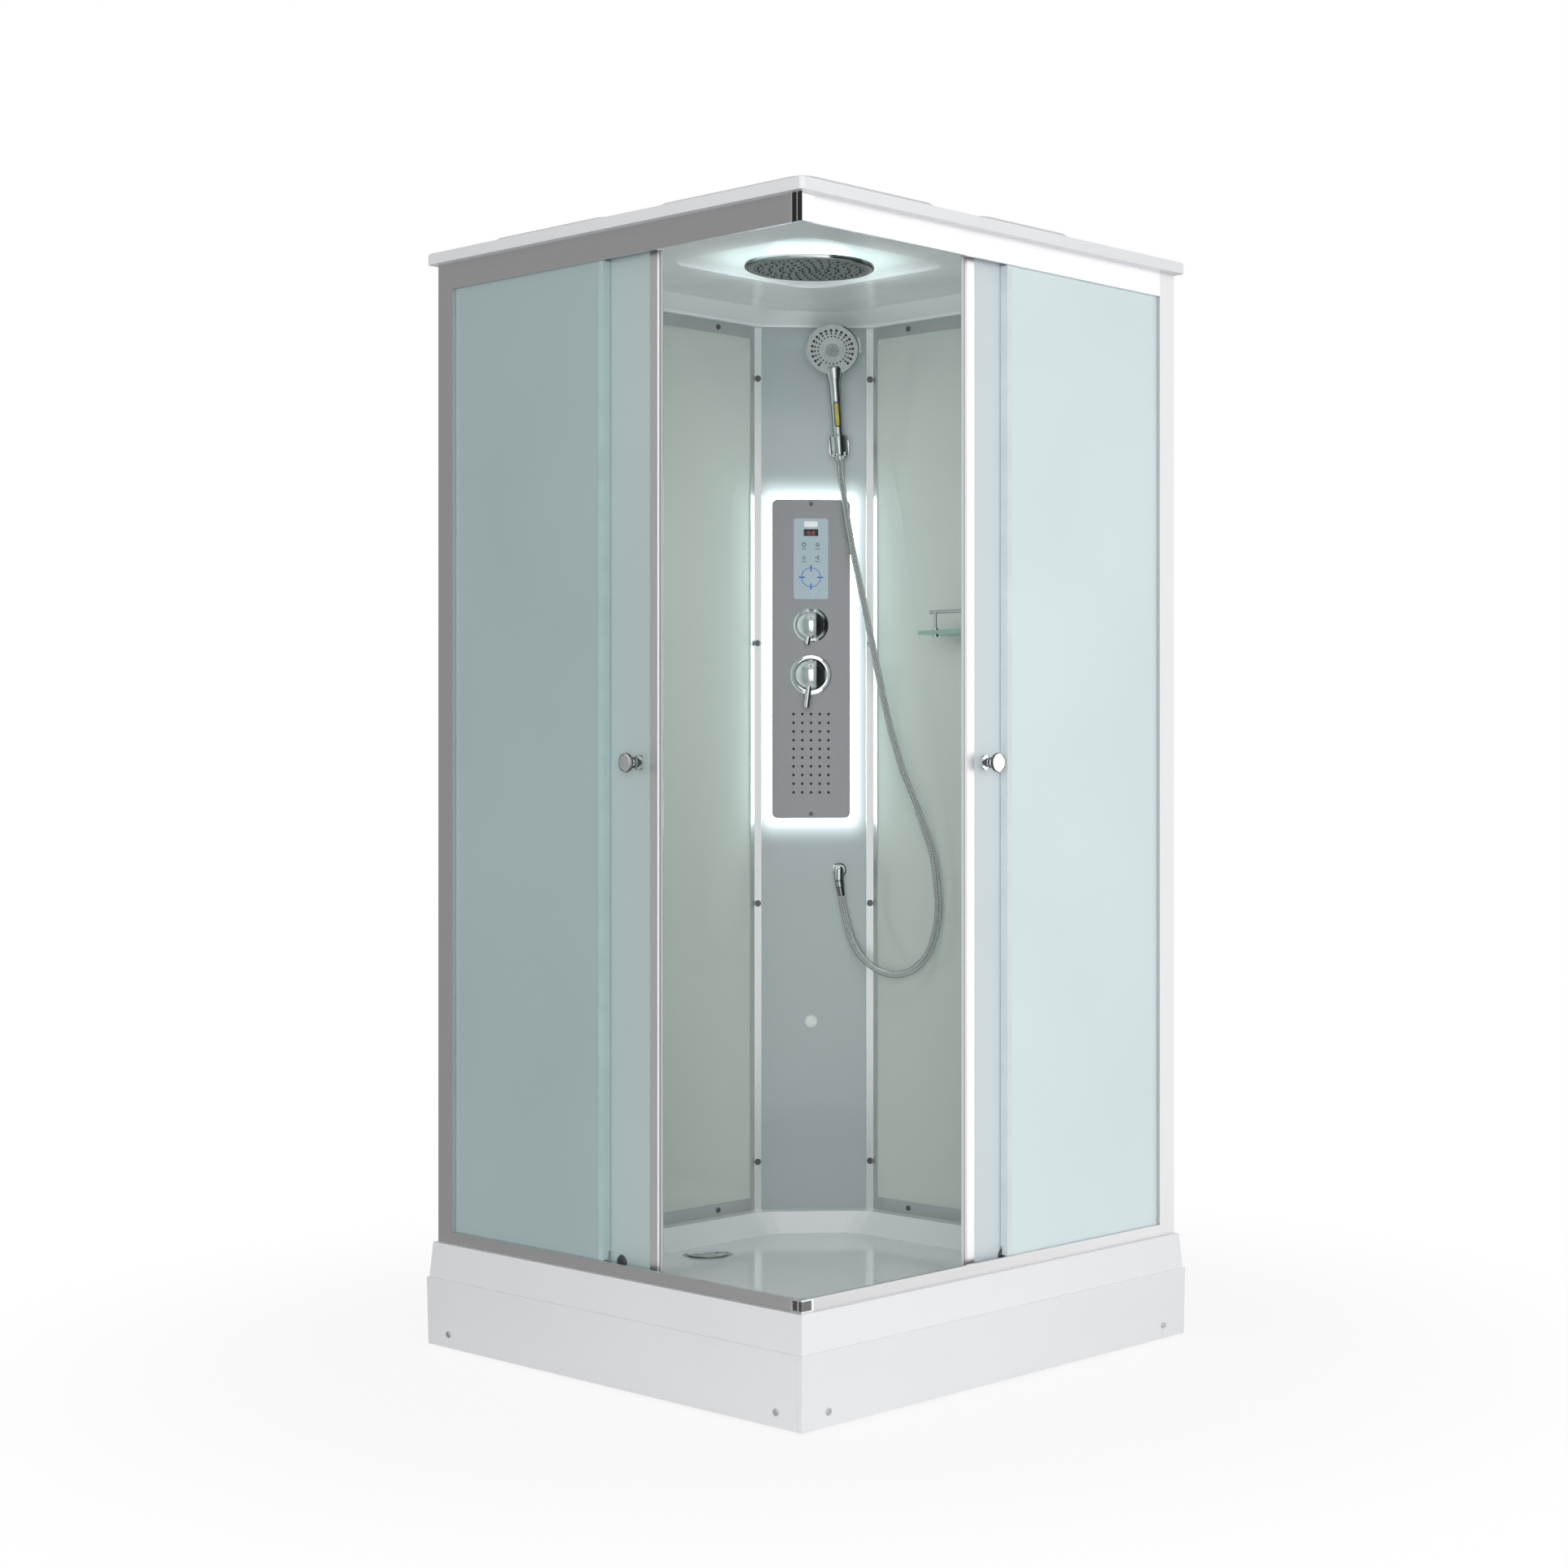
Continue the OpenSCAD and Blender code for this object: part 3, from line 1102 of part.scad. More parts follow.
module front_door() door_place(travel_front) children();
module right_door() to_right() door_place(travel_right) children();
module door_glass_front() color("lightcyan", 0.6) front_door() door_glass();
module door_glass_right() color("lightcyan", 0.6) right_door() door_glass();
module door_profile_front() color("silver") front_door() door_profile();
module door_profile_right() color("silver") right_door() door_profile();
module door_knob_front() color("silver") front_door() door_knob();
module door_knob_right() color("silver") right_door() door_knob();
module door_hangers_front() color("dimgray") front_door() door_hangers();
module door_hangers_right() color("dimgray") right_door() door_hangers();
module roller_front(back, z) color("dimgray") front_door() roller(back, z);
module roller_right(back, z) color("dimgray") right_door() roller(back, z);

shower_tray();
apron_front();
apron_right();
tray_frame();
tray_feet();
drain_trap();
drain_cover();
bottom_rail_front();
bottom_rail_right();
top_track_front();
top_track_right();
wall_post_front();
wall_post_right();
corner_caps();
fixed_glass_front();
fixed_glass_right();
fixed_glass_seals();
rear_glass_left();
rear_glass_right();
rear_rails();
wall_column();
column_trims();
cabin_screws();
light_strips();
control_panel();
control_keypad();
mixer_valve();
mixer_rosette();
mixer_stem();
mixer_handle();
diverter_knob();
supply_pipes();
hose_elbow();
shower_hose();
holder_bracket();
holder_cradle();
handset();
spray_selector();
rain_shower();
rain_face();
roof_panel();
glass_shelf();
shelf_rail();
jet_cap();
door_glass_front();
door_profile_front();
door_knob_front();
door_hangers_front();
door_glass_right();
door_profile_right();
door_knob_right();
door_hangers_right();
roller_front(lead_back, top_wheel_z);  // roller_front_top_lead
roller_front(tail_back, top_wheel_z);  // roller_front_top_tail
roller_front(lead_back, low_wheel_z);  // roller_front_low_lead
roller_front(tail_back, low_wheel_z);  // roller_front_low_tail
roller_right(lead_back, top_wheel_z);  // roller_right_top_lead
roller_right(tail_back, top_wheel_z);  // roller_right_top_tail
roller_right(lead_back, low_wheel_z);  // roller_right_low_lead
roller_right(tail_back, low_wheel_z);  // roller_right_low_tail
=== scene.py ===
import math

import bmesh
import bpy
from bpy.props import FloatProperty, FloatVectorProperty, IntProperty, PointerProperty
from mathutils import Matrix, Vector


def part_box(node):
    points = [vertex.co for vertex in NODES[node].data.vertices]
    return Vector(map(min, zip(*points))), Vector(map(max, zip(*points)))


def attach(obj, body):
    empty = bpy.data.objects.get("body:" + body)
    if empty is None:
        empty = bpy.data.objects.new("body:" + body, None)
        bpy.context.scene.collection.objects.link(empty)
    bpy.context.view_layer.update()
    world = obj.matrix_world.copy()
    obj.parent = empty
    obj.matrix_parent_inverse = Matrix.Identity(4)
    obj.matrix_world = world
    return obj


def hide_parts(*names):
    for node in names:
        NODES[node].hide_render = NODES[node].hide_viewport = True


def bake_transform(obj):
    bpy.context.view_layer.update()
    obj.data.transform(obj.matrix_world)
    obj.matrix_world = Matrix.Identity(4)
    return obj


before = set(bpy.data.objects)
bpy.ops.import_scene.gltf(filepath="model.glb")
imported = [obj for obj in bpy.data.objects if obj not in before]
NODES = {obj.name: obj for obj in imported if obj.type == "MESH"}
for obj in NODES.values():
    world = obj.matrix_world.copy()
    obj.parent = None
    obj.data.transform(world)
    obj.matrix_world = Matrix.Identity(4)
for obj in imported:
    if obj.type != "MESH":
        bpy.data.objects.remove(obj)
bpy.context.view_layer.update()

bl_info = {
    "name": "Corner shower cabin",
    "version": (1, 0, 0),
    "blender": (4, 5, 0),
    "location": "View3D > Sidebar > Shower",
    "description": "Dresses a corner-entry shower cabin: hose, hand shower, keypad, jets and finishes",
    "category": "Object",
}

# The column stands across the rear corner. Its frame: X to the right, Y up, Z out of the wall.
COLUMN_CENTRE = 0.3843188
FITTINGS_OFF = -0.006
PANEL_FRONT = 0.016
HOSE_SIDE = 0.052
CRADLE_OUT = 0.050
CRADLE_Z = 1.736
LEAN = math.radians(11)
SIDE_LEAN = math.radians(-4)
HEAD_UP = 0.196
HEAD_OUT = 0.005
HEAD_TILT = math.radians(15)
ELBOW_Z = 0.858
RAIN_Z = 2.0035
KEYPAD_MID = 1.50324
SPRAY_MID = 1.10064
SPRAY_PITCH = 0.018
SPRAY_COLUMNS = 5
SPRAY_ROWS = 10
DOOR_EDGE_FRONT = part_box("door_profile_front")[1][0]
DOOR_EDGE_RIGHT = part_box("door_profile_right")[0][1]
PANEL_MID = 1.296
PANEL_HALF = (0.077, 0.326)
PANEL_SCREW_OFF = 0.321
CEILING_TOP = 2.0225
COLUMN_FACE = COLUMN_CENTRE * math.sqrt(2) + 0.001
RIM_TOP = 2.0243
# Past everything in the scene
FAR = 9.0

# Hose: spacing and depth of its grooves, pitch of the bands in its finish, and the length of its top end at the
# hand shower
HOSE_STEP = 0.0021
HOSE_GROOVE = 0.00045
HOSE_BAND = 0.0042
HOSE_TOP_LENGTH = 0.086

# Rings of jets: radius and number, and for the hand shower the size of the jets
SPRAY_RINGS = ((0.0, 1, 0.5), (0.0032, 6, 0.5), (0.0064, 12, 0.5), (0.0096, 16, 0.5), (0.0128, 22, 0.5),
               (0.0290, 24, 0.75), (0.0356, 24, 0.9), (0.0416, 24, 1.35))
RAIN_RINGS = ((0.0, 1), (0.018, 8), (0.036, 14), (0.055, 20), (0.075, 26), (0.096, 32))
WINDOW_UP = 0.063

# Keypad: heights and sides of its fields, from the keypad's middle
DISPLAY_UP = 0.0540
LABEL_UP = 0.0715
SIGN_SIDES = (-0.0145, 0.0135)
SIGN_HEIGHTS = (0.0290, 0.0025)
DIAL_UP = -0.0384
DIAL_RADIUS = 0.0190

# Finishes: width of the doors' magnetic strip and half of the dark line beside it, and depths of the fine relief
STRIP_WIDE = 0.00795
STRIP_LINE = 0.0009
GRAIN_DEPTH = 0.0004
LINE_DEPTH = 0.0002

ACROSS = Vector((math.sqrt(0.5), math.sqrt(0.5), 0))
OUTWARD = Vector((math.sqrt(0.5), -math.sqrt(0.5), 0))
UP = Vector((0, 0, 1))
COLUMN_BASE = Vector((-COLUMN_CENTRE, COLUMN_CENTRE, 0))
COLUMN_WALL = Matrix.Translation(COLUMN_BASE) @ Matrix((ACROSS, UP, OUTWARD)).transposed().to_4x4()

# The hose's route, as in the part's source: right, out of the wall, above the elbow
HOSE_ROUTE = [
    (0.0571, 0.026, -0.0521), (0.0602, 0.0264, -0.072), (0.0655, 0.030, -0.096), (0.074, 0.039, -0.129),
    (0.088, 0.054, -0.160), (0.103, 0.067, -0.179), (0.123, 0.083, -0.196), (0.145, 0.099, -0.206),
    (0.169, 0.114, -0.209), (0.198, 0.132, -0.200), (0.219, 0.144, -0.182), (0.233, 0.152, -0.162),
    (0.244, 0.159, -0.131), (0.2505, 0.163, -0.097), (0.2525, 0.165, -0.064), (0.250, 0.165, -0.028),
    (0.241, 0.160, 0.040), (0.213, 0.149, 0.123), (0.182, 0.136, 0.204), (0.158, 0.123, 0.288),
    (0.139, 0.110, 0.372), (0.122, 0.098, 0.455), (0.1085, 0.088, 0.522), (0.095, 0.079, 0.589),
    (0.085, 0.073, 0.635), (0.0745, 0.066, 0.694), (0.064, 0.058, 0.759), (0.0565, 0.049, 0.810),
    (0.0546, 0.0443, 0.8409), (0.0535, 0.0457, 0.856),
]


# ---------------------------------------------------------------- places
def on_column(across, out, up):
    """A point of the column's frame, in the cabin's frame."""
    return COLUMN_BASE + ACROSS * across + OUTWARD * out + UP * up


def handset_place():
    """The hand shower's frame: Z runs up the handle and -Y looks out of the head."""
    turn = Matrix.Rotation(math.radians(45), 4, "Z")
    spot = Matrix.Translation((HOSE_SIDE, -CRADLE_OUT, CRADLE_Z))
    return (Matrix.Translation(COLUMN_BASE) @ turn @ spot
            @ Matrix.Rotation(SIDE_LEAN, 4, "Y") @ Matrix.Rotation(LEAN, 4, "X"))


def head_face_place():
    """The face of the hand shower's head: Z looks out of it and Y runs up."""
    turn = Matrix.Rotation(math.radians(90) + HEAD_TILT, 4, "X")
    return handset_place() @ Matrix.Translation((0, -HEAD_OUT, HEAD_UP)) @ turn


def round_places(radius, count):
    """Places spread evenly on a circle: the angle, X and Y of each."""
    for k in range(count):
        angle = 2 * math.pi * k / count
        yield angle, radius * math.cos(angle), radius * math.sin(angle)


# ---------------------------------------------------------------- meshes
def placed(name, data):
    """An object in the scene that shows the data."""
    made = bpy.data.objects.new(name, data)
    bpy.context.scene.collection.objects.link(made)
    return made


def new_piece(name, bm, look, body, smooth=35):
    """Makes a piece from a bmesh: welded, facing outwards, with a finish, and riding on a body if one is given."""
    bmesh.ops.remove_doubles(bm, verts=bm.verts, dist=1e-6)
    bmesh.ops.recalc_face_normals(bm, faces=bm.faces)
    mesh = bpy.data.meshes.new(name)
    bm.to_mesh(mesh)
    bm.free()
    piece = placed(name, mesh)
    mesh.materials.append(finish(look))
    for polygon in mesh.polygons:
        polygon.use_smooth = True
    if smooth:
        mesh.set_sharp_from_angle(angle=math.radians(smooth))
    if body:
        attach(piece, body)
    return piece


def add_part(bm, part, place):
    """Moves a finished part to its place and adds it to a piece."""
    bmesh.ops.remove_doubles(part, verts=part.verts, dist=1e-7)
    bmesh.ops.recalc_face_normals(part, faces=part.faces)
    bmesh.ops.transform(part, matrix=place, verts=part.verts)
    scrap = bpy.data.meshes.new("part")
    part.to_mesh(scrap)
    part.free()
    bm.from_mesh(scrap)
    bpy.data.meshes.remove(scrap)


def turned(bm, profile, place, steps=32):
    """Turns a profile of (radius, height) points about the Z axis of a place."""
    part = bmesh.new()
    corners = [part.verts.new((radius, 0, height)) for radius, height in profile]
    edges = [part.edges.new(pair) for pair in zip(corners, corners[1:])]
    bmesh.ops.spin(part, geom=corners + edges, cent=(0, 0, 0), axis=(0, 0, 1), angle=2 * math.pi,
                   steps=steps, use_merge=True)
    add_part(bm, part, place)


def rounded_edges(part, edges, offset, segments):
    bmesh.ops.bevel(part, geom=edges, offset=offset, offset_type="OFFSET", segments=segments, profile=0.5,
                    affect="EDGES", material=-1)


def plate(bm, width, height, thick, place, corner=0.002, edge=0.0003):
    """A flat plate with round corners and broken edges, on the XY plane of a place."""
    part = bmesh.new()
    bmesh.ops.create_cube(part, size=1, matrix=Matrix.Diagonal((width, height, thick, 1)))
    if corner > 0:
        uprights = [e for e in part.edges if abs(e.verts[0].co.z - e.verts[1].co.z) > thick / 2]
        rounded_edges(part, uprights, corner, 5)
    if edge > 0:
        part.normal_update()
        rim = [e for e in part.edges if len(e.link_faces) == 2 and e.calc_face_angle(0) > 1.2
               and abs(e.verts[0].co.z - e.verts[1].co.z) < 1e-9]
        rounded_edges(part, rim, edge, 2)
    add_part(bm, part, place @ Matrix.Translation((0, 0, thick / 2)))


def stud(bm, radius, high, place, sides=10, taper=0.8):
    """A small tapered stud that stands on the XY plane of a place."""
    made = bmesh.ops.create_cone(bm, cap_ends=True, segments=sides, radius1=radius, radius2=radius * taper,
                                 depth=high)
    bmesh.ops.transform(bm, matrix=place @ Matrix.Translation((0, 0, high / 2)), verts=made["verts"])


def flat_ring(bm, inner, outer, thick, place, sides=48):
    """A flat ring on the XY plane of a place."""
    turned(bm, [(inner, 0), (outer, 0), (outer, thick), (inner, thick), (inner, 0)], place, sides)


def smooth_route(points, step):
    """A smooth line through the points, cut into even pieces about a step long."""
    pts = [Vector(p) for p in points]
    last = len(pts) - 1
    slopes = [(pts[i + 1] - pts[i - 1]) / 2 for i in range(1, last)]
    slopes = [pts[1] - pts[0], *slopes, pts[last] - pts[last - 1]]
    dense = []
    for i in range(last):
        for j in range(24):
            t = j / 24
            dense.append((2 * t**3 - 3 * t**2 + 1) * pts[i] + (t**3 - 2 * t**2 + t) * slopes[i]
                         + (3 * t**2 - 2 * t**3) * pts[i + 1] + (t**3 - t**2) * slopes[i + 1])
    dense.append(pts[last])
    walked = [0.0]
    for a, b in zip(dense, dense[1:]):
        walked.append(walked[-1] + (b - a).length)
    count = max(2, round(walked[-1] / step))
    even, k = [], 0
    for i in range(count + 1):
        want = walked[-1] * i / count
        while k < len(walked) - 2 and walked[k + 1] < want:
            k += 1
        part = (want - walked[k]) / max(walked[k + 1] - walked[k], 1e-12)
        even.append(dense[k].lerp(dense[k + 1], min(1.0, max(0.0, part))))
    return even


def hose_tube(route, radii, sides):
    """A tube that follows a route, with a radius for each of its points, and its length written on it."""
    bm = bmesh.new()
    along = bm.verts.layers.float.new("along")
    ring = bmesh.ops.create_circle(bm, cap_ends=False, segments=sides, radius=1.0)["verts"]
    edges = list({e for v in ring for e in v.link_edges})
    unit = [v.co.copy() for v in ring]
    first = list(ring)
    side = None
    travelled = 0.0
    for i, point in enumerate(route):
        ahead = (route[min(i + 1, len(route) - 1)] - route[max(i - 1, 0)]).normalized()
        side = (side - ahead * side.dot(ahead)).normalized() if side else ahead.orthogonal().normalized()
        over = ahead.cross(side)
        if i:
            travelled += (point - route[i - 1]).length
            grown = bmesh.ops.extrude_edge_only(bm, edges=edges)["geom"]
            added = {g for g in grown if isinstance(g, bmesh.types.BMVert)}
            edges = [g for g in grown if isinstance(g, bmesh.types.BMEdge) and set(g.verts) <= added]
            ring = [next(e.other_vert(v) for e in v.link_edges if e.other_vert(v) in added) for v in ring]
        for v, u in zip(ring, unit):
            v.co = point + (side * u.x + over * u.y) * radii[i]
            v[along] = travelled
    bm.faces.new(first)
    bm.faces.new(list(reversed(ring)))
    return bm


# ---------------------------------------------------------------- shader nodes
def link(tree, start, end):
    tree.links.new(start, end)


def node(tree, kind, inputs=None, **settings):
    """A shader node with its settings; each of its inputs is a value or another node's output."""
    made = tree.nodes.new("ShaderNode" + kind)
    for key, value in settings.items():
        setattr(made, key, value)
    for key, value in (inputs or {}).items():
        if isinstance(value, bpy.types.NodeSocket):
            link(tree, value, made.inputs[key])
        else:
            made.inputs[key].default_value = value
    return made


def maths(tree, operation, *values, clamp=False):
    """The result of an operation on one or two values."""
    return node(tree, "Math", dict(enumerate(values)), operation=operation, use_clamp=clamp).outputs[0]


def vector_maths(tree, operation, *vectors, result="Vector"):
    """The result of an operation on one or two vectors."""
    return node(tree, "VectorMath", dict(enumerate(vectors)), operation=operation).outputs[result]


def reach_along(tree, vector, direction):
    """How far a vector reaches along a direction."""
    return vector_maths(tree, "DOT_PRODUCT", vector, direction, result="Value")


def remap(tree, value, low, high, start=0.0, end=1.0, smooth=False):
    """A value led from the range start to end over to the range low to high."""
    ends = {"Value": value, "From Min": start, "From Max": end, "To Min": low, "To Max": high}
    return node(tree, "MapRange", ends, interpolation_type="SMOOTHSTEP" if smooth else "LINEAR").outputs["Result"]


def mixed(tree, factor, first, second, kind="FLOAT", blend="MIX"):
    """A mix of two values, or of two colours where the kind is RGBA."""
    ends = {"Factor": factor, "A": first, "B": second}
    return node(tree, "Mix", ends, data_type=kind, blend_type=blend).outputs["Result"]


def tinted(tree, colour, factor):
    """A colour multiplied by a value that changes over the surface."""
    plain = colour if isinstance(colour, bpy.types.NodeSocket) else (*colour, 1)
    spread = node(tree, "CombineColor", dict.fromkeys(("Red", "Green", "Blue"), factor))
    return mixed(tree, 1.0, plain, spread.outputs["Color"], "RGBA", "MULTIPLY")


def step_between(tree, value, low, high):
    """One inside a range of a value, none outside it."""
    return maths(tree, "MULTIPLY", maths(tree, "GREATER_THAN", value, low), maths(tree, "LESS_THAN", value, high))


def spot_of(tree):
    """The shaded point, in the cabin's frame."""
    return tree.nodes["Texture Coordinate"].outputs["Object"]


def normal_of(tree):
    return node(tree, "NewGeometry").outputs["Normal"]


def part_of(tree, vector, axis):
    return node(tree, "SeparateXYZ", {0: vector}).outputs[axis]


def bump(tree, shader, height, strength, distance):
    raised = node(tree, "Bump", {"Strength": strength, "Distance": distance, "Height": height})
    link(tree, raised.outputs["Normal"], shader.inputs["Normal"])


# ---------------------------------------------------------------- shader groups
def new_group(name, inputs, outputs):
    """An empty group, with its inner ends. An input is a vector where its value is one."""
    tree = bpy.data.node_groups.new(name, "ShaderNodeTree")
    for label, value in inputs.items():
        kind = "NodeSocketVector" if isinstance(value, tuple) else "NodeSocketFloat"
        tree.interface.new_socket(name=label, in_out="INPUT", socket_type=kind).default_value = value
    for label in outputs:
        tree.interface.new_socket(name=label, in_out="OUTPUT", socket_type="NodeSocketFloat")
    return tree, tree.nodes.new("NodeGroupInput").outputs, tree.nodes.new("NodeGroupOutput").inputs


def drawn_lines_group(name):
    """Fine parallel lines of drawn or brushed metal: a shade and a height."""
    given = {"Vector": (0, 0, 0), "Stretch": (1, 1, 1), "Fineness": 900, "Low": 0.9, "High": 1.05}
    tree, enter, leave = new_group(name, given, ("Shade", "Height"))
    scaled = vector_maths(tree, "MULTIPLY", enter["Vector"], enter["Stretch"])
    grain = {"Vector": scaled, "Scale": enter["Fineness"], "Detail": 3, "Roughness": 0.6}
    lines = node(tree, "TexNoise", grain).outputs["Fac"]
    link(tree, remap(tree, lines, enter["Low"], enter["High"]), leave["Shade"])
    link(tree, lines, leave["Height"])
    return tree


def variation_group(name):
    """The slow variation of a moulded or polished surface: a shade, a roughness and a height."""
    given = {"Vector": (0, 0, 0), "Broad scale": 6, "Fine scale": 250, "Shade low": 0.97, "Rough low": 0.1,
             "Rough high": 0.2}
    tree, enter, leave = new_group(name, given, ("Shade", "Roughness", "Height"))
    broad, fine = (node(tree, "TexNoise", {"Vector": enter["Vector"], "Scale": enter[scale], "Detail": detail})
                   for scale, detail in (("Broad scale", 2), ("Fine scale", 1)))
    for low, high, end in ((enter["Shade low"], 1.0, "Shade"), (enter["Rough low"], enter["Rough high"], "Roughness")):
        link(tree, remap(tree, broad.outputs["Fac"], low, high, 0.3, 0.7), leave[end])
    link(tree, fine.outputs["Fac"], leave["Height"])
    return tree


def spill_group(name):
    """How much painted light a lit edge throws on the surface round it: all up to Start, none past Reach."""
    given = {"Vector": (0, 0, 0), "Half size": (0, 0, 0), "Start": 0.01, "Reach": 0.1}
    tree, enter, leave = new_group(name, given, ("Glow",))
    past = vector_maths(tree, "SUBTRACT", vector_maths(tree, "ABSOLUTE", enter["Vector"]), enter["Half size"])
    distance = vector_maths(tree, "LENGTH", vector_maths(tree, "MAXIMUM", past), result="Value")
    fall = remap(tree, distance, 1.0, 0.0, enter["Start"], enter["Reach"], True)
    link(tree, maths(tree, "POWER", fall, 2.0), leave["Glow"])
    return tree


def grouped(tree, name, maker, inputs):
    """The outputs of a shader group, which is made on first use."""
    return node(tree, "Group", inputs, node_tree=bpy.data.node_groups.get(name) or maker(name)).outputs


# ---------------------------------------------------------------- materials
def start_material(name, **constants):
    """A material whose plain values are set on the Principled shader's own sockets."""
    material = bpy.data.materials.new(name)
    material.use_nodes = True
    tree = material.node_tree
    shader = tree.nodes["Principled BSDF"]
    for key, value in constants.items():
        shader.inputs[key.replace("_", " ").title()].default_value = value
    node(tree, "TexCoord")
    return material, tree, shader


def insides(material):
    """The tree of a material, and the inputs of its Principled shader."""
    return material.node_tree, material.node_tree.nodes["Principled BSDF"].inputs


def shaded(material, factor):
    """Multiplies the colour of a finish by a value that changes over its surface."""
    tree, inputs = insides(material)
    base = inputs["Base Color"]
    link(tree, tinted(tree, base.links[0].from_socket, factor), base)
    return material


def varied(name, colour, rough=(0.1, 0.2), broad=6, fine=250, shade=0.97, relief=0.05, **constants):
    """A moulded, painted or polished finish."""
    material, tree, shader = start_material(name, **constants)
    made = grouped(tree, "Surface variation", variation_group, {
        "Vector": spot_of(tree), "Broad scale": broad, "Fine scale": fine, "Shade low": shade,
        "Rough low": rough[0], "Rough high": rough[1]})
    link(tree, tinted(tree, colour, made["Shade"]), shader.inputs["Base Color"])
    link(tree, made["Roughness"], shader.inputs["Roughness"])
    if relief:
        bump(tree, shader, made["Height"], relief, GRAIN_DEPTH)
    return material


def drawn(name, colour, stretch, fineness=900, shade=(0.9, 1.05), relief=0.15, roughness=0.34):
    """A drawn or brushed metal, with its lines along the axis where stretch is small."""
    material, tree, shader = start_material(name, metallic=1.0, roughness=roughness)
    made = grouped(tree, "Drawn lines", drawn_lines_group, {
        "Vector": spot_of(tree), "Stretch": stretch, "Fineness": fineness, "Low": shade[0], "High": shade[1]})
    link(tree, tinted(tree, colour, made["Shade"]), shader.inputs["Base Color"])
    bump(tree, shader, made["Height"], relief, LINE_DEPTH)
    return material


def frosted(name, key, rough, relief, shade, alpha):
    """Toughened glass with a frosted inner face."""
    return varied(name, tint(key), rough=rough, broad=2, fine=1400, relief=relief, shade=shade, alpha=alpha,
                  coat_weight=0.25, coat_roughness=0.15)


def spill(material, across, origin, half, start, reach, colour, strength, side, limit):
    """Adds painted light, as emission, where a lit edge would throw its light on a finish, in the plane of two
    directions.

    Only what lies less than limit along side is lit, so that the light stays on one face."""
    tree, inputs = insides(material)
    spot = spot_of(tree)
    flat = {axis: maths(tree, "SUBTRACT", reach_along(tree, spot, direction), middle)
            for axis, direction, middle in zip("XY", across, origin)}
    glow = grouped(tree, "Light spill", spill_group, {
        "Vector": node(tree, "CombineXYZ", flat).outputs[0], "Half size": (*half, 0), "Start": start, "Reach": reach})
    lit = maths(tree, "MULTIPLY", glow["Glow"], maths(tree, "LESS_THAN", reach_along(tree, spot, side), limit))
    link(tree, tinted(tree, colour, lit), inputs["Emission Color"])
    inputs["Emission Strength"].default_value = strength
    return material


def tint(name):
    """A colour that the user sets in the sidebar."""
    return tuple(getattr(bpy.context.scene.shower_colours, name))


def finish(name):
    """The material of that name, made on first use."""
    return bpy.data.materials.get(name) or FINISHES[name](name)


def profile_with_magnet(name, front):
    """Drawn aluminium, with the pale magnetic strip on the closing side of the door's edge."""
    colour = [min(1.0, part * (1.35 if front else 1.18)) for part in tint("aluminium")]
    material = drawn(name, colour, (1, 1, 0.01))
    tree, inputs = insides(material)
    base = inputs["Base Color"]
    joint = DOOR_EDGE_FRONT - STRIP_WIDE if front else DOOR_EDGE_RIGHT + STRIP_WIDE
    place = part_of(tree, spot_of(tree), "X" if front else "Y")
    strip = maths(tree, "GREATER_THAN" if front else "LESS_THAN", place, joint)
    link(tree, mixed(tree, strip, base.links[0].from_socket, (0.56, 0.59, 0.60, 1), "RGBA"), base)
    link(tree, maths(tree, "SUBTRACT", 1.0, strip), inputs["Metallic"])
    line = step_between(tree, place, joint - STRIP_LINE, joint + STRIP_LINE)
    return shaded(material, remap(tree, line, 1.0, 0.22))


def hose_finish(name):
    """Silver hose with the fine bands of its reinforcement along the hose, and a painted highlight set by the facing
    angle.
    """
    material, tree, shader = start_material(name, metallic=0.75, coat_weight=0.6, coat_roughness=0.12)
    along = node(tree, "Attribute", attribute_name="along").outputs["Fac"]
    wave = maths(tree, "SINE", maths(tree, "MULTIPLY", along, 2 * math.pi / HOSE_BAND))
    # Painted highlight: bright lines, a darker middle and dark edges, set by the facing angle.
    painted_glint = node(tree, "ValToRGB", {"Fac": node(tree, "LayerWeight", {"Blend": 0.5}).outputs["Facing"]})
    ramp = painted_glint.color_ramp.elements
    ramp[0].color, ramp[1].color = (0.50, 0.50, 0.50, 1), (0.16, 0.16, 0.16, 1)
    for position, level in ((0.06, 0.55), (0.16, 1.0), (0.38, 1.0), (0.62, 0.30)):
        ramp.new(position).color = (level, level, level, 1)
    banded = tinted(tree, (0.80, 0.82, 0.81), remap(tree, wave, 0.72, 1.0, -1.0))
    link(tree, tinted(tree, banded, painted_glint.outputs["Color"]), shader.inputs["Base Color"])
    link(tree, remap(tree, wave, 0.42, 0.26, -1.0), shader.inputs["Roughness"])
    bump(tree, shader, wave, 0.3, 0.0003)
    return material


def chrome_with_painted_band(name, painted_lift=1.0, depth=0.10):
    """Polished chrome with a painted reflection: the dark band of a studio flag, painted on the side that turns from
    the lamps.
    """
    material = polished(name, [part * painted_lift for part in tint("chrome")], (0.05, 0.11), 0.85)
    tree = material.node_tree
    # Painted reflection: the colour is darkened in a band by the way the surface's normal faces.
    aside = reach_along(tree, normal_of(tree), ACROSS)
    edges = [remap(tree, aside, 0.0, 1.0, start, end, True) for start, end in ((0.26, 0.36), (0.86, 0.76))]
    return painted_dark_rim(shaded(material, remap(tree, maths(tree, "MULTIPLY", *edges), 1.0, depth)))


def polished(name, colour, rough, metallic=1.0):
    """Polished chrome, a little uneven."""
    return varied(name, colour, rough=rough, fine=60, relief=0.01, shade=0.95, metallic=metallic)


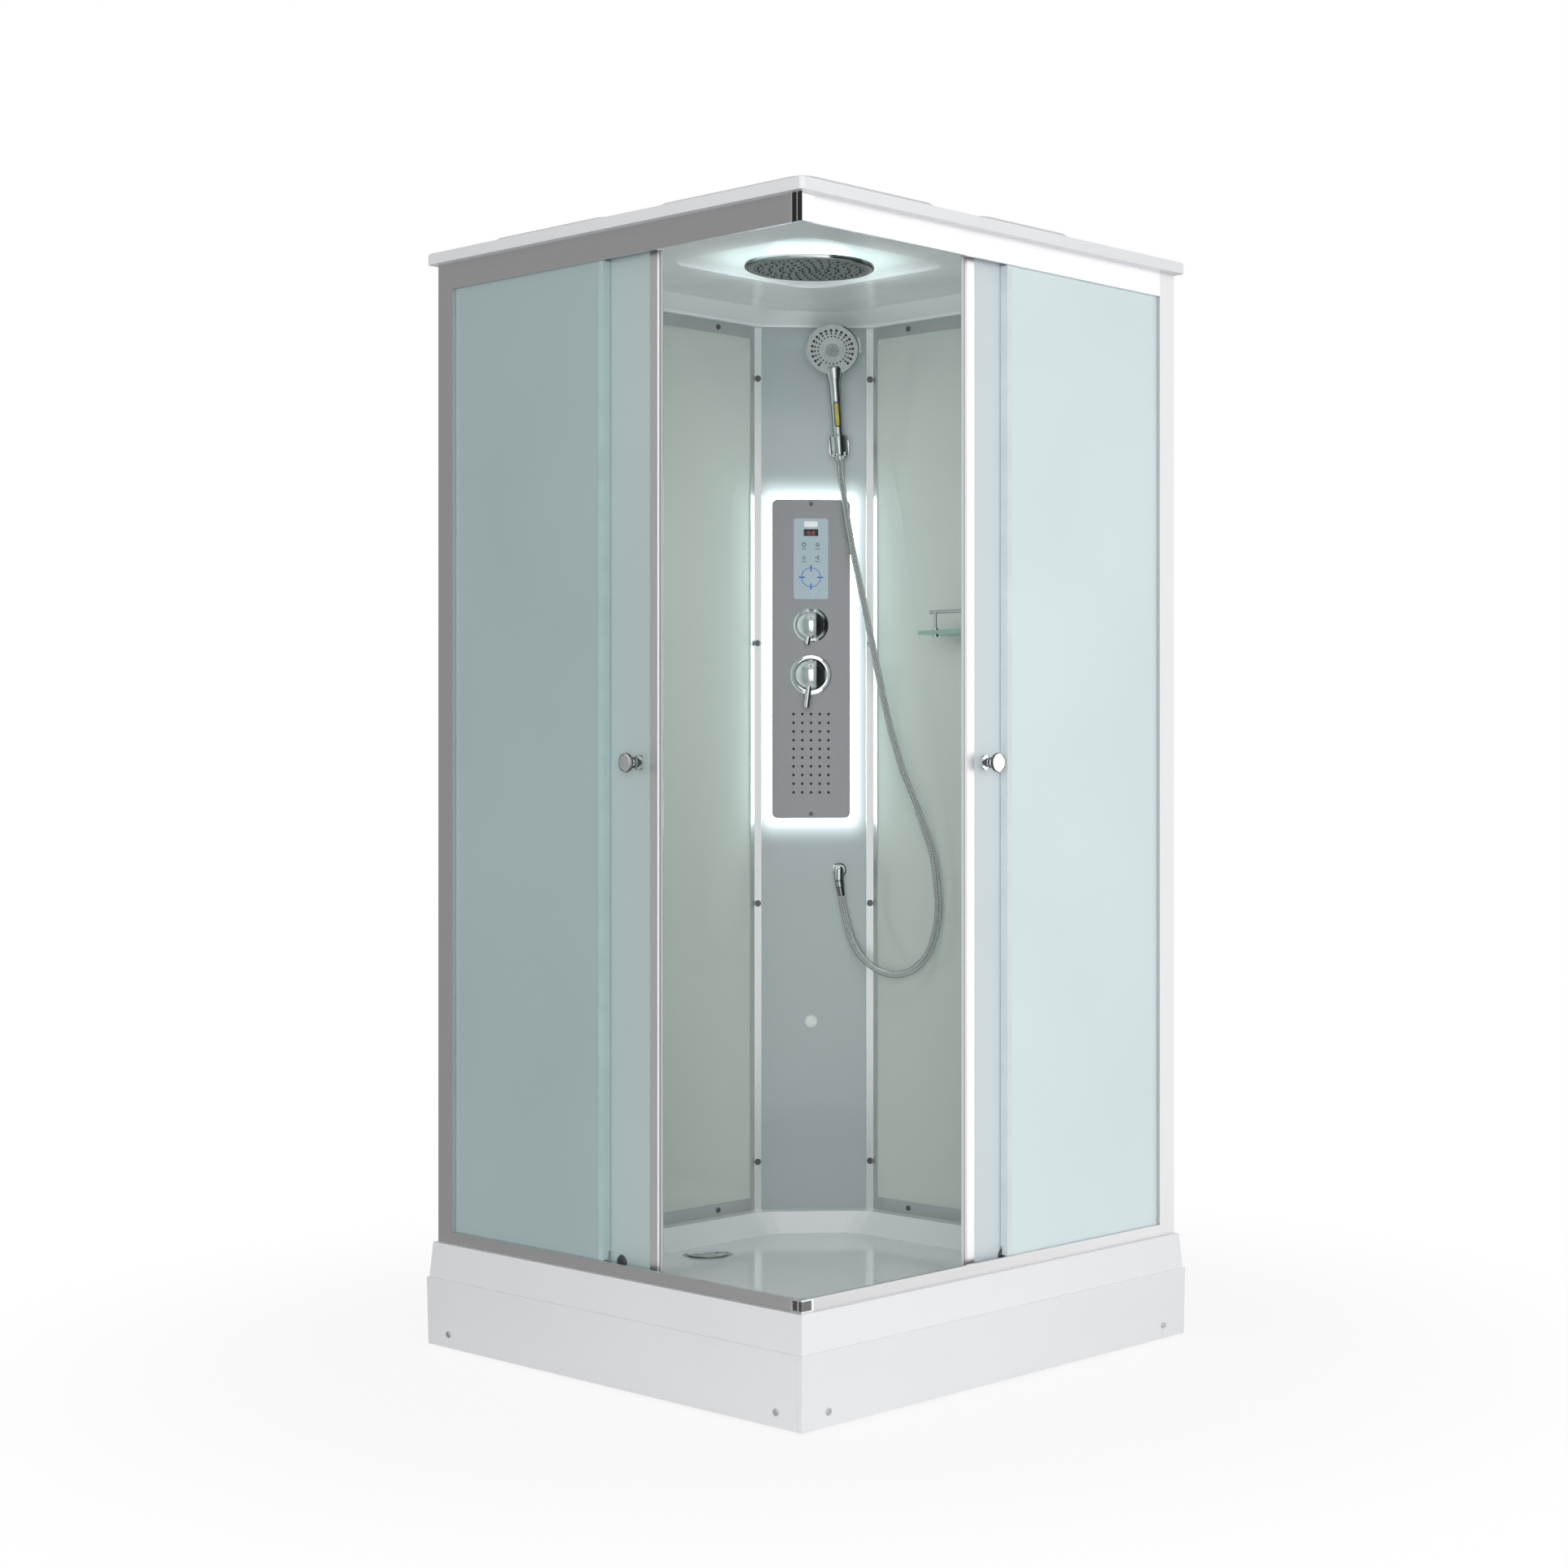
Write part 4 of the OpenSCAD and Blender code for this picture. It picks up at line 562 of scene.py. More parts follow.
def painted_dark_rim(material):
    """Paints a dark reflection on polished metal where it turns away, as of a studio's dark far side."""
    tree = material.node_tree
    # Painted reflection: the colour darkens as the surface turns from the view.
    turn = node(tree, "LayerWeight", {"Blend": 0.5}).outputs["Facing"]
    return shaded(material, remap(tree, turn, 1.0, 0.06, 0.34, 0.66, True))


def column_finish(name):
    """Lacquer of the column, lit on its face by the strips round the control panel, with an added painted glow round
    the panel.
    """
    lacquer = varied(name, tint("column"), rough=(0.16, 0.24), broad=3, fine=500, relief=0.03, shade=0.97,
                     coat_weight=0.3, coat_roughness=0.08)
    # Painted glow: emission round the control panel on the column's face.
    return spill(lacquer, (ACROSS, UP), (FITTINGS_OFF, PANEL_MID), PANEL_HALF, 0.012, 0.075, (0.86, 1.0, 1.0), 0.5,
                 -OUTWARD, COLUMN_FACE)


def roof_finish(name):
    """Roof acrylic: polished below and round the rim, matt on its top, with a painted glow on the ceiling round the
    rain shower.
    """
    # Painted glow: emission on the ceiling round the rain shower, only below the ceiling's top.
    material = spill(varied(name, tint("acrylic"), rough=(0.16, 0.24), relief=0.04, shade=0.98),
                     ((1, 0, 0), (0, 1, 0)), (0, 0), (0, 0), 0.112, 0.285, (0.78, 1.0, 0.97), 0.6, UP, CEILING_TOP)
    tree, inputs = insides(material)
    rough = inputs["Roughness"]
    raised = step_between(tree, part_of(tree, spot_of(tree), "Z"), RIM_TOP, FAR)
    link(tree, mixed(tree, raised, rough.links[0].from_socket, 0.8), rough)
    return material


def elbow_chrome_with_painted_bands(name):
    """Chrome of the hose elbow: its top, its nut and its ferrule have painted reflections, bands of height painted
    darker than its body.
    """
    material = chrome_with_painted_band(name)
    tree = material.node_tree
    height = part_of(tree, spot_of(tree), "Z")
    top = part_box("hose_elbow")[1][2]
    # Painted reflection: bands of height darkened in the colour.
    for low, high, level in ((0.0, 0.0045, 0.15), (0.034, 0.0375, 0.35), (0.0375, 0.0475, 0.75), (0.0475, 0.12, 0.4)):
        shaded(material, remap(tree, step_between(tree, height, top - high, top - low), 1.0, level))
    return material


def cap_chrome_with_painted_fields(name):
    """Chrome corner caps with painted reflections: each leg has dark fields painted between bright edges."""
    material = polished(name, (0.84, 0.85, 0.86), (0.05, 0.10))
    tree = material.node_tree
    low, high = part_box("corner_caps")
    height = part_of(tree, spot_of(tree), "Z")
    along = maths(tree, "ADD", reach_along(tree, spot_of(tree), (-1, 1, 0)), high[0] - low[1])
    facing_left = step_between(tree, part_of(tree, normal_of(tree), "Y"), -1.1, -0.5)

    def strip(start, end, factor):
        """The part of a leg that lies in a range from the corner, times a factor."""
        return maths(tree, "MULTIPLY", step_between(tree, along, start, end), factor)

    # Painted reflection: dark fields set by height and by reach from the corner.
    lower = strip(-0.01, 0.0215, step_between(tree, height, low[2] + 0.0035, low[2] + 0.0195))
    lower = maths(tree, "SUBTRACT", lower, strip(0.0075, 0.0105, facing_left), clamp=True)
    upper = maths(tree, "SUBTRACT", strip(0.0015, 0.0225, facing_left), strip(0.0095, 0.0125, 0.75), clamp=True)
    upper = maths(tree, "MULTIPLY", step_between(tree, height, low[2] + 0.5, high[2] + 0.1), upper)
    dark = maths(tree, "MAXIMUM", maths(tree, "MULTIPLY", lower, 0.86), upper)
    return shaded(material, remap(tree, dark, 1.0, 0.08))


def knob_chrome_with_painted_rims(name, axis):
    """Chrome of a door knob with a painted reflection: its rounded edges are painted dark, as where they mirror the
    dark side of the room.
    """
    material = polished(name, (0.86, 0.87, 0.88), (0.06, 0.12))
    tree = material.node_tree
    # Painted reflection: the rounded edges are darkened in the colour.
    size = maths(tree, "ABSOLUTE", reach_along(tree, normal_of(tree), axis))
    return painted_dark_rim(shaded(material, remap(tree, step_between(tree, size, 0.06, 0.90), 1.0, 0.2)))


def seal_finish(name):
    """Clear seals with painted light and shade: greyer on the front side as painted shade, paler and bluer on the right
    side as painted light.
    """
    material = varied(name, (0.72, 0.79, 0.82), rough=(0.3, 0.4), broad=15, relief=0.03, shade=0.92)
    tree, inputs = insides(material)
    base = inputs["Base Color"]
    # Painted light and shade: the front side is toned darker and greyer, the right side is kept pale.
    right = step_between(tree, reach_along(tree, spot_of(tree), (1, 1, 0)), 0.0, FAR)
    painted_side_tone = mixed(tree, right, (0.66, 0.76, 0.73, 1), (1.0, 1.0, 1.0, 1), "RGBA")
    link(tree, mixed(tree, 1.0, base.links[0].from_socket, painted_side_tone, "RGBA", "MULTIPLY"), base)
    return material


def screw_finish(name):
    """Dark screws, with the pale ones of the aprons low down."""
    material = varied(name, (0.60, 0.61, 0.62), rough=(0.3, 0.45), broad=120, fine=700, relief=0.05, shade=0.8,
                      metallic=0.9)
    tree = material.node_tree
    high = step_between(tree, part_of(tree, spot_of(tree), "Z"), 0.12, FAR)
    return shaded(material, remap(tree, high, 1.0, 0.27))


def nylon(name, colour):
    return varied(name, colour, rough=(0.35, 0.5), broad=60, fine=900, relief=0.08, shade=0.9)


def glowing(name, colour, strength, face=(0.9, 0.95, 0.97)):
    """A milky light diffuser, with a little unevenness in its glow."""
    material = varied(name, face, rough=(0.25, 0.35), relief=0)
    tree, inputs = insides(material)
    group = next(n for n in tree.nodes if n.type == "GROUP")
    link(tree, tinted(tree, colour, group.outputs["Shade"]), inputs["Emission Color"])
    inputs["Emission Strength"].default_value = strength
    return material


FINISHES = {
    "White acrylic": lambda n: varied(
        n, tint("acrylic"), rough=(0.10, 0.17), relief=0.03, shade=0.985, coat_weight=0.3, coat_roughness=0.05),
    "Roof acrylic": roof_finish,
    "Upright aluminium": lambda n: drawn(n, tint("aluminium"), (1, 1, 0.01)),
    "Front aluminium": lambda n: drawn(n, tint("aluminium"), (0.01, 1, 1)),
    # Side aluminium and right post aluminium are darker copies of the aluminium, painted shade; the right track is a
    # lighter copy, painted light.
    "Side aluminium": lambda n: drawn(n, tint("aluminium"), (1, 0.01, 1), shade=(0.84, 1.0)),
    "Right track aluminium": lambda n: drawn(n, (0.80, 0.80, 0.82), (1, 0.01, 1)),
    "Trim aluminium": lambda n: drawn(n, (0.75, 0.77, 0.77), (1, 1, 0.01)),
    "Right post aluminium": lambda n: drawn(n, tint("aluminium"), (1, 1, 0.01), shade=(0.84, 0.99), roughness=0.36),
    "Rail aluminium": lambda n: varied(
        n, tint("aluminium"), rough=(0.3, 0.4), fine=900, relief=0.08, shade=0.93, metallic=1.0),
    "Front door edge": lambda n: profile_with_magnet(n, True),
    "Right door edge": lambda n: profile_with_magnet(n, False),
    "Polished chrome": lambda n: polished(n, tint("chrome"), (0.04, 0.10)),
    "Banded chrome": chrome_with_painted_band,
    # Mixer chrome: a copy of the chrome painted lighter, with a shallower painted dark band: painted light on the
    # knobs.
    "Mixer chrome": lambda n: chrome_with_painted_band(n, 1.22, 0.04),
    "Elbow chrome": elbow_chrome_with_painted_bands,
    "Front knob chrome": lambda n: knob_chrome_with_painted_rims(n, (0, 1, 0)),
    "Right knob chrome": lambda n: knob_chrome_with_painted_rims(n, (1, 0, 0)),
    "Cap chrome": cap_chrome_with_painted_fields,
    "Zinc coated steel": lambda n: varied(
        n, (0.40, 0.42, 0.44), rough=(0.35, 0.55), broad=30, shade=0.8, relief=0.1, metallic=1.0),
    # The same frosted glass is coloured darker on the front and lighter on the right: painted shade on the front side,
    # painted light on the right side.
    "Front frosted glass": lambda n: frosted(n, "frosted_front", (0.34, 0.42), 0.06, 0.94, 0.93),
    "Right frosted glass": lambda n: frosted(n, "frosted_right", (0.34, 0.42), 0.06, 0.95, 0.94),
    "Front door glass": lambda n: frosted(n, "door_front", (0.30, 0.40), 0.05, 0.95, 0.90),
    "Right door glass": lambda n: frosted(n, "door_right", (0.30, 0.40), 0.05, 0.96, 0.90),
    "Painted rear glass": lambda n: varied(
        n, tint("rear_glass"), rough=(0.03, 0.07), broad=1.5, fine=40, relief=0.01, shade=0.97, coat_weight=0.8,
        coat_roughness=0.02),
    "Shelf glass": lambda n: varied(
        n, (0.30, 0.50, 0.43), rough=(0.02, 0.05), broad=20, relief=0, alpha=0.72, coat_weight=0.5,
        coat_roughness=0.02),
    "Column lacquer": column_finish,
    "Brushed panel": lambda n: drawn(
        n, (0.305, 0.313, 0.327), (1, 1, 0.012), fineness=1300, shade=(0.88, 1.06), relief=0.12, roughness=0.36),
    "Keypad glass": lambda n: glowing(n, (0.70, 0.86, 0.95), 0.05, (0.33, 0.42, 0.46)),
    "Light diffuser": lambda n: glowing(n, (0.80, 0.96, 1.0), 9.0),
    "Clear seal": seal_finish,
    "Dark screws": screw_finish,
    "Roller cover": lambda n: nylon(n, (0.06, 0.065, 0.07)),
    "Grey nylon": lambda n: nylon(n, (0.20, 0.21, 0.22)),
    "Turned brass": lambda n: varied(
        n, (0.70, 0.52, 0.26), rough=(0.22, 0.36), broad=40, fine=500, relief=0.05, shade=0.88, metallic=1.0),
    "Copper pipe": lambda n: varied(
        n, (0.74, 0.42, 0.28), rough=(0.22, 0.38), broad=18, fine=500, relief=0.04, shade=0.8, metallic=1.0),
    "Jet cap plastic": lambda n: varied(n, (0.67, 0.72, 0.70), rough=(0.16, 0.24), relief=0.03, shade=0.97),
    "Trap plastic": lambda n: varied(n, (0.55, 0.57, 0.58), rough=(0.4, 0.55), fine=600, relief=0.08, shade=0.93),
    "Rain face": lambda n: varied(n, (0.14, 0.155, 0.152), rough=(0.3, 0.42), fine=500, relief=0.05, shade=0.9),
    "Foot rubber": lambda n: varied(n, (0.06, 0.06, 0.065), rough=(0.55, 0.75), fine=800, relief=0.15, shade=0.85),
    "Silver hose": hose_finish,
    "Spray face": lambda n: varied(
        n, (0.42, 0.45, 0.455), rough=(0.22, 0.32), broad=30, fine=600, relief=0.03, shade=0.95),
    "Dark jets": lambda n: varied(n, (0.012, 0.013, 0.014), rough=(0.4, 0.5), broad=200, relief=0, shade=0.8),
    "Amber window": lambda n: varied(
        n, (0.44, 0.39, 0.06), rough=(0.08, 0.16), broad=60, fine=300, relief=0.02, shade=0.6, coat_weight=0.8,
        coat_roughness=0.03),
    "Keypad dark": lambda n: varied(n, (0.02, 0.02, 0.025), rough=(0.08, 0.14), relief=0, shade=0.9),
    "Keypad blue": lambda n: glowing(n, (0.04, 0.22, 0.62), 0.08, (0.02, 0.10, 0.42)),
    "Keypad grey": lambda n: varied(n, (0.03, 0.04, 0.055), rough=(0.3, 0.4), relief=0, shade=0.9),
    "Keypad red": lambda n: glowing(n, (0.8, 0.03, 0.03), 0.35, (0.4, 0.02, 0.02)),
    "Keypad label": lambda n: varied(n, (0.86, 0.88, 0.90), rough=(0.25, 0.35), relief=0, shade=0.96),
}

# The pieces that have each finish; the rollers have "Grey nylon"
NODE_FINISH = {piece: look for look, pieces in {
    "White acrylic": "shower_tray apron_front apron_right",
    "Zinc coated steel": "tray_frame",
    "Foot rubber": "tray_feet",
    "Trap plastic": "drain_trap",
    "Polished chrome": "drain_cover",
    "Front aluminium": "bottom_rail_front top_track_front",
    "Side aluminium": "bottom_rail_right",
    "Right track aluminium": "top_track_right",
    "Upright aluminium": "wall_post_front",
    "Right post aluminium": "wall_post_right",
    "Cap chrome": "corner_caps",
    "Front frosted glass": "fixed_glass_front",
    "Right frosted glass": "fixed_glass_right",
    "Clear seal": "fixed_glass_seals",
    "Painted rear glass": "rear_glass_left rear_glass_right",
    "Rail aluminium": "rear_rails",
    "Column lacquer": "wall_column",
    "Trim aluminium": "column_trims",
    "Dark screws": "cabin_screws",
    "Light diffuser": "light_strips",
    "Brushed panel": "control_panel",
    "Keypad glass": "control_keypad",
    "Turned brass": "mixer_valve",
    "Mixer chrome": "mixer_rosette mixer_handle diverter_knob",
    "Banded chrome": "mixer_stem holder_bracket holder_cradle handset rain_shower shelf_rail",
    "Copper pipe": "supply_pipes",
    "Elbow chrome": "hose_elbow",
    "Spray face": "spray_selector",
    "Rain face": "rain_face",
    "Roof acrylic": "roof_panel",
    "Shelf glass": "glass_shelf",
    "Jet cap plastic": "jet_cap",
    "Front door glass": "door_glass_front",
    "Right door glass": "door_glass_right",
    "Front door edge": "door_profile_front",
    "Right door edge": "door_profile_right",
    "Front knob chrome": "door_knob_front",
    "Right knob chrome": "door_knob_right",
    "Roller cover": "door_hangers_front door_hangers_right",
    "Silver hose": "shower_hose",
}.items() for piece in pieces.split()}


# ---------------------------------------------------------------- settings
def length_setting(label, words, value, low, high):
    return FloatProperty(name=label, description=words, default=value, min=low, max=high, unit="LENGTH")


class ShowerSizes(bpy.types.PropertyGroup):
    """Sizes of the pieces that dress the cabin."""
    hose_bore: length_setting("Hose diameter", "Outer diameter of the hose", 0.014, 0.01, 0.02)
    hose_sides: IntProperty(name="Hose sides", description="Sides of the hose's round section", default=14,
                            min=8, max=32)
    jet_radius: length_setting("Jet radius", "Radius of a soft jet of the hand shower", 0.0022, 0.0005, 0.004)
    rain_jet_radius: length_setting("Rain jet radius", "Radius of a soft jet of the rain shower", 0.0021,
                                    0.0005, 0.004)
    lamp_power: FloatProperty(name="Lamp power", description="Power of the large side lamp", default=60, min=0,
                              max=1000, unit="POWER")


def colour_setting(label, words, value):
    return FloatVectorProperty(name=label, description=words, default=value, subtype="COLOR", size=3, min=0, max=1)


class ShowerColours(bpy.types.PropertyGroup):
    """Colours of the cabin's main finishes."""
    acrylic: colour_setting("Acrylic", "White of the tray, aprons and roof", (0.84, 0.85, 0.87))
    aluminium: colour_setting("Aluminium", "Colour of the satin profiles", (0.70, 0.70, 0.71))
    chrome: colour_setting("Chrome", "Colour of the polished fittings", (0.78, 0.79, 0.80))
    # The front glass colours are set darker than the right ones for the same glass: painted shade on the front, painted
    # light on the right.
    frosted_front: colour_setting("Front panel", "Frosted glass of the front panel", (0.445, 0.555, 0.562))
    frosted_right: colour_setting("Right panel", "Frosted glass of the right panel", (0.76, 0.88, 0.90))
    door_front: colour_setting("Front door", "Frosted glass of the front door", (0.54, 0.65, 0.655))
    door_right: colour_setting("Right door", "Frosted glass of the right door", (0.70, 0.79, 0.81))
    rear_glass: colour_setting("Rear panes", "Paint behind the rear panes", (0.585, 0.645, 0.60))
    column: colour_setting("Column", "Lacquer of the service column", (0.37, 0.425, 0.435))


# ---------------------------------------------------------------- pieces
class SHOWER_OT_stage(bpy.types.Operator):
    """Sets the camera at the photograph's angle, the pale floor, the lamps and the world."""
    bl_idname = "shower.stage"
    bl_label = "Set the stage"

    def execute(self, context):
        scene = context.scene
        scene.view_settings.view_transform = "Standard"
        data = bpy.data.cameras.new("Photo camera")
        data.sensor_width = 36
        data.lens = 60.48
        data.shift_x = -0.1514
        data.shift_y = -0.0149
        data.clip_end = 60
        camera = placed("Photo camera", data)
        camera.location = (3.5569, -3.4335, 1.0854)
        camera.rotation_euler = (math.radians(90), 0, math.radians(41.41))
        scene.camera = camera
        self.floor()
        self.lamps(scene.shower_sizes.lamp_power)
        self.world(scene)
        return {"FINISHED"}

    def floor(self):
        """A floor that looks plain white far off, takes the shadow near the cabin, and mirrors darker on the left."""
        bm = bmesh.new()
        bmesh.ops.create_grid(bm, x_segments=1, y_segments=1, size=14)
        mesh = bpy.data.meshes.new("Studio floor")
        bm.to_mesh(mesh)
        bm.free()
        floor = placed("Studio floor", mesh)
        material, tree, shader = start_material("Studio floor", base_color=(0.78, 0.78, 0.78, 1), roughness=0.9)
        path = node(tree, "LightPath").outputs
        seen = maths(tree, "MAXIMUM", path["Is Camera Ray"], path["Is Glossy Ray"])
        seen = maths(tree, "MAXIMUM", seen, path["Is Transmission Ray"])
        mirrored = remap(tree, reach_along(tree, spot_of(tree), (0.88, 0.47, 0)), 0.36, 1.0, -1.0, 1.2)
        level = mixed(tree, path["Is Glossy Ray"], 1.0, mirrored)
        glow = node(tree, "Emission", {"Color": (1, 1, 1, 1), "Strength": level}).outputs[0]
        lit = node(tree, "MixShader", {0: maths(tree, "MULTIPLY", seen, 0.89), 1: shader.outputs[0], 2: glow})
        distance = vector_maths(tree, "LENGTH", spot_of(tree), result="Value")
        ground = node(tree, "MixShader", {0: remap(tree, distance, 0.0, 1.0, 0.75, 1.75, True), 1: lit.outputs[0],
                                          2: node(tree, "BsdfTransparent").outputs[0]})
        link(tree, ground.outputs[0], tree.nodes["Material Output"].inputs["Surface"])
        mesh.materials.append(material)

    def lamps(self, power):
        """Square soft lamps, each with its place, aim, size and share of the power."""
        for name, place, aim, size, share in (
            ("Camera side lamp", (4.2, -4.2, 1.5), (0, 0, 1.0), 2.6, 2.4),
            ("Right lamp", (5.0, 0.8, 1.3), (0.3, 0, 1.0), 2.4, 0.9),
            ("Left lamp", (-0.8, -5.0, 1.3), (0, -0.3, 1.0), 2.4, 0.45),
            ("Entry lamp", (0.22, -0.22, 1.45), (-0.38, 0.38, 1.45), 0.40, 0.027),
            ("Low lamp", (0.22, -0.22, 0.62), (-0.38, 0.38, 0.45), 0.35, 0.012),
        ):
            data = bpy.data.lights.new(name, "AREA")
            data.shape = "SQUARE"
            data.size = size
            data.energy = power * share
            lamp = placed(name, data)
            lamp.location = place
            lamp.rotation_euler = (Vector(aim) - Vector(place)).to_track_quat("-Z", "Y").to_euler()
            lamp.visible_glossy = False
            lamp.visible_camera = False

    def world(self, scene):
        """Plain white to the eye and through glass; mirrors see it shaded, and it lights everything evenly."""
        world = bpy.data.worlds.new("Studio")
        world.use_nodes = True
        scene.world = world
        tree = world.node_tree
        background = tree.nodes["Background"].inputs
        background["Color"].default_value = (1, 1, 1, 1)
        path = node(tree, "LightPath").outputs
        aim = reach_along(tree, node(tree, "TexCoord").outputs["Generated"], (0.80, 0.42, 0.42))
        mirrored = mixed(tree, path["Is Glossy Ray"], 0.40, remap(tree, aim, 0.36, 1.36, -0.75, 0.55, True))
        seen = maths(tree, "MAXIMUM", path["Is Camera Ray"], path["Is Transmission Ray"])
        link(tree, mixed(tree, seen, mirrored, 1.0), background["Strength"])


class SHOWER_OT_hose(bpy.types.Operator):
    """Makes the hose in two lengths; the top length is the end at the hand shower."""
    bl_idname = "shower.hose"
    bl_label = "Hang the hose"

    def execute(self, context):
        sizes = context.scene.shower_sizes
        radius = sizes.hose_bore / 2
        route = smooth_route([on_column(across, out, ELBOW_Z + up) for across, out, up in HOSE_ROUTE], HOSE_STEP)
        radii = [radius - (HOSE_GROOVE if i % 2 else 0.0) for i in range(len(route))]
        seam = max(i for i in range(len(route)) if (route[-1] - route[i]).length > HOSE_TOP_LENGTH)
        for name, first, last in (("hose_run", 0, seam), ("hose_top", seam, len(route) - 1)):
            part = route[first:last + 1]
            tube = hose_tube(part, radii[first:last + 1], sizes.hose_sides)
            piece = new_piece(name, tube, "Silver hose", None, 0)
            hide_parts("shower_hose")
            if name == "hose_run":
                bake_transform(piece)
            else:
                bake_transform(piece)
        self.cone()
        return {"FINISHED"}

    def cone(self):
        bm = bmesh.new()
        turned(bm, [(0.0073, -0.0310), (0.0084, -0.0308), (0.0092, -0.0250), (0.0092, -0.0224), (0.0073, -0.0223)],
               handset_place(), 32)
        new_piece("hose_cone", bm, "Polished chrome", "handset")


class SHOWER_OT_hand_shower(bpy.types.Operator):
    """Makes the hand shower's spray face, its jets and the window in its handle."""
    bl_idname = "shower.hand_shower"
    bl_label = "Dress the hand shower"

    def execute(self, context):
        face = head_face_place()
        bm = bmesh.new()
        turned(bm, [(0.0, 0.0112), (0.0150, 0.0112), (0.0165, 0.0106), (0.0480, 0.0104), (0.0515, 0.0098),
                    (0.0525, 0.0088), (0.0522, 0.0078), (0.0, 0.0078)], face, 96)
        new_piece("spray_plate", bm, "Spray face", "handset")
        bm = bmesh.new()
        radius = context.scene.shower_sizes.jet_radius
        for ring, count, size in SPRAY_RINGS:
            for angle, x, y in round_places(ring, count):
                over_handle = ring > 0.03 and abs(angle - 1.5 * math.pi) < 0.6
                if not over_handle:
                    stud(bm, radius * size, 0.0018, face @ Matrix.Translation((x, y, 0.0102)), 12, 0.85)
        new_piece("spray_jets", bm, "Dark jets", "handset")
        facing = Matrix.Rotation(math.radians(91.25), 4, "X")
        for name, width, height, thick, out, corner, edge, look in (
            ("handle_window", 0.0085, 0.049, 0.0022, 0.0092, 0.0042, 0.0006, "Amber window"),
            ("window_rim", 0.0112, 0.0525, 0.0021, 0.0089, 0.0055, 0.0005, "Dark jets"),
        ):
            bm = bmesh.new()
            spot = handset_place() @ Matrix.Translation((0, -out, WINDOW_UP)) @ facing
            plate(bm, width, height, thick, spot, corner, edge)
            new_piece(name, bm, look, "handset")
        return {"FINISHED"}


class SHOWER_OT_keypad(bpy.types.Operator):
    """Makes the keypad's display, its label field and the signs of its keys."""
    bl_idname = "shower.keypad"
    bl_label = "Dress the keypad"

    def execute(self, context):
        face = COLUMN_WALL @ Matrix.Translation((FITTINGS_OFF, KEYPAD_MID, PANEL_FRONT + 0.0015))

        def at(across, up, out=0.0):
            return face @ Matrix.Translation((across, up, out))

        def ray(middle, angle, reach, out=0.0):
            """A place at a distance from a middle, turned to look away from it."""
            return middle @ Matrix.Rotation(angle, 4, "Z") @ Matrix.Translation((0, reach, out))

        def close(name, bm, look):
            new_piece(name, bm, look, "cabin")

        for name, look, width, height, thick, up, corner in (
            ("keypad_display", "Keypad dark", 0.030, 0.014, 0.0008, DISPLAY_UP, 0.0015),
            ("keypad_label", "Keypad label", 0.028, 0.012, 0.0006, LABEL_UP, 0.001),
        ):
            bm = bmesh.new()
            plate(bm, width, height, thick, at(0, up), corner)
            close(name, bm, look)
        bm = bmesh.new()
        strokes = [(0, up, 0.0032, 0.0008) for up in (0.0032, 0, -0.0032)]
        strokes += [(across, up, 0.0008, 0.0026) for up in (0.0016, -0.0016) for across in (-0.0019, 0.0019)]
        for x in (-0.0045, 0.0045):
            for across, up, width, height in strokes:
                plate(bm, width, height, 0.0003, at(x + across, DISPLAY_UP + up, 0.0008), 0, 0)
        close("keypad_digits", bm, "Keypad red")
        bm = bmesh.new()
        (left, right), (high, low) = SIGN_SIDES, SIGN_HEIGHTS
        for x, z in ((left, high), (right, high), (left, low), (right, low)):
            plate(bm, 0.010, 0.0012, 0.0004, at(x, z - 0.0085), 0, 0)
        flat_ring(bm, 0.0032, 0.0045, 0.0004, at(left, high), 24)
        plate(bm, 0.0009, 0.0044, 0.0005, at(left, high + 0.0033), 0, 0)
        flat_ring(bm, 0.0019, 0.0031, 0.0004, at(right, high), 20)
        for k in range(8):
            plate(bm, 0.0008, 0.0016, 0.0004, ray(at(right, high), k * math.pi / 4, 0.0046), 0, 0)
        for k in range(3):
            plate(bm, 0.0082 - 0.0018 * k, 0.0010, 0.0004, at(left, 0.0026 * k), 0, 0)
            plate(bm, 0.0020, 0.0042, 0.0004, ray(at(right, low), math.radians(90 + 120 * k), 0.0030), 0.0008, 0)
        close("keypad_signs", bm, "Keypad grey")
        bm = bmesh.new()
        flat_ring(bm, DIAL_RADIUS, DIAL_RADIUS + 0.0013, 0.0005, at(0, DIAL_UP, 0.0008), 64)
        for k in range(4):
            plate(bm, 0.0028, 0.0128, 0.0006, ray(at(0, DIAL_UP), k * math.pi / 2, DIAL_RADIUS, 0.0003), 0.0006, 0)
        close("keypad_ring", bm, "Keypad blue")
        return {"FINISHED"}


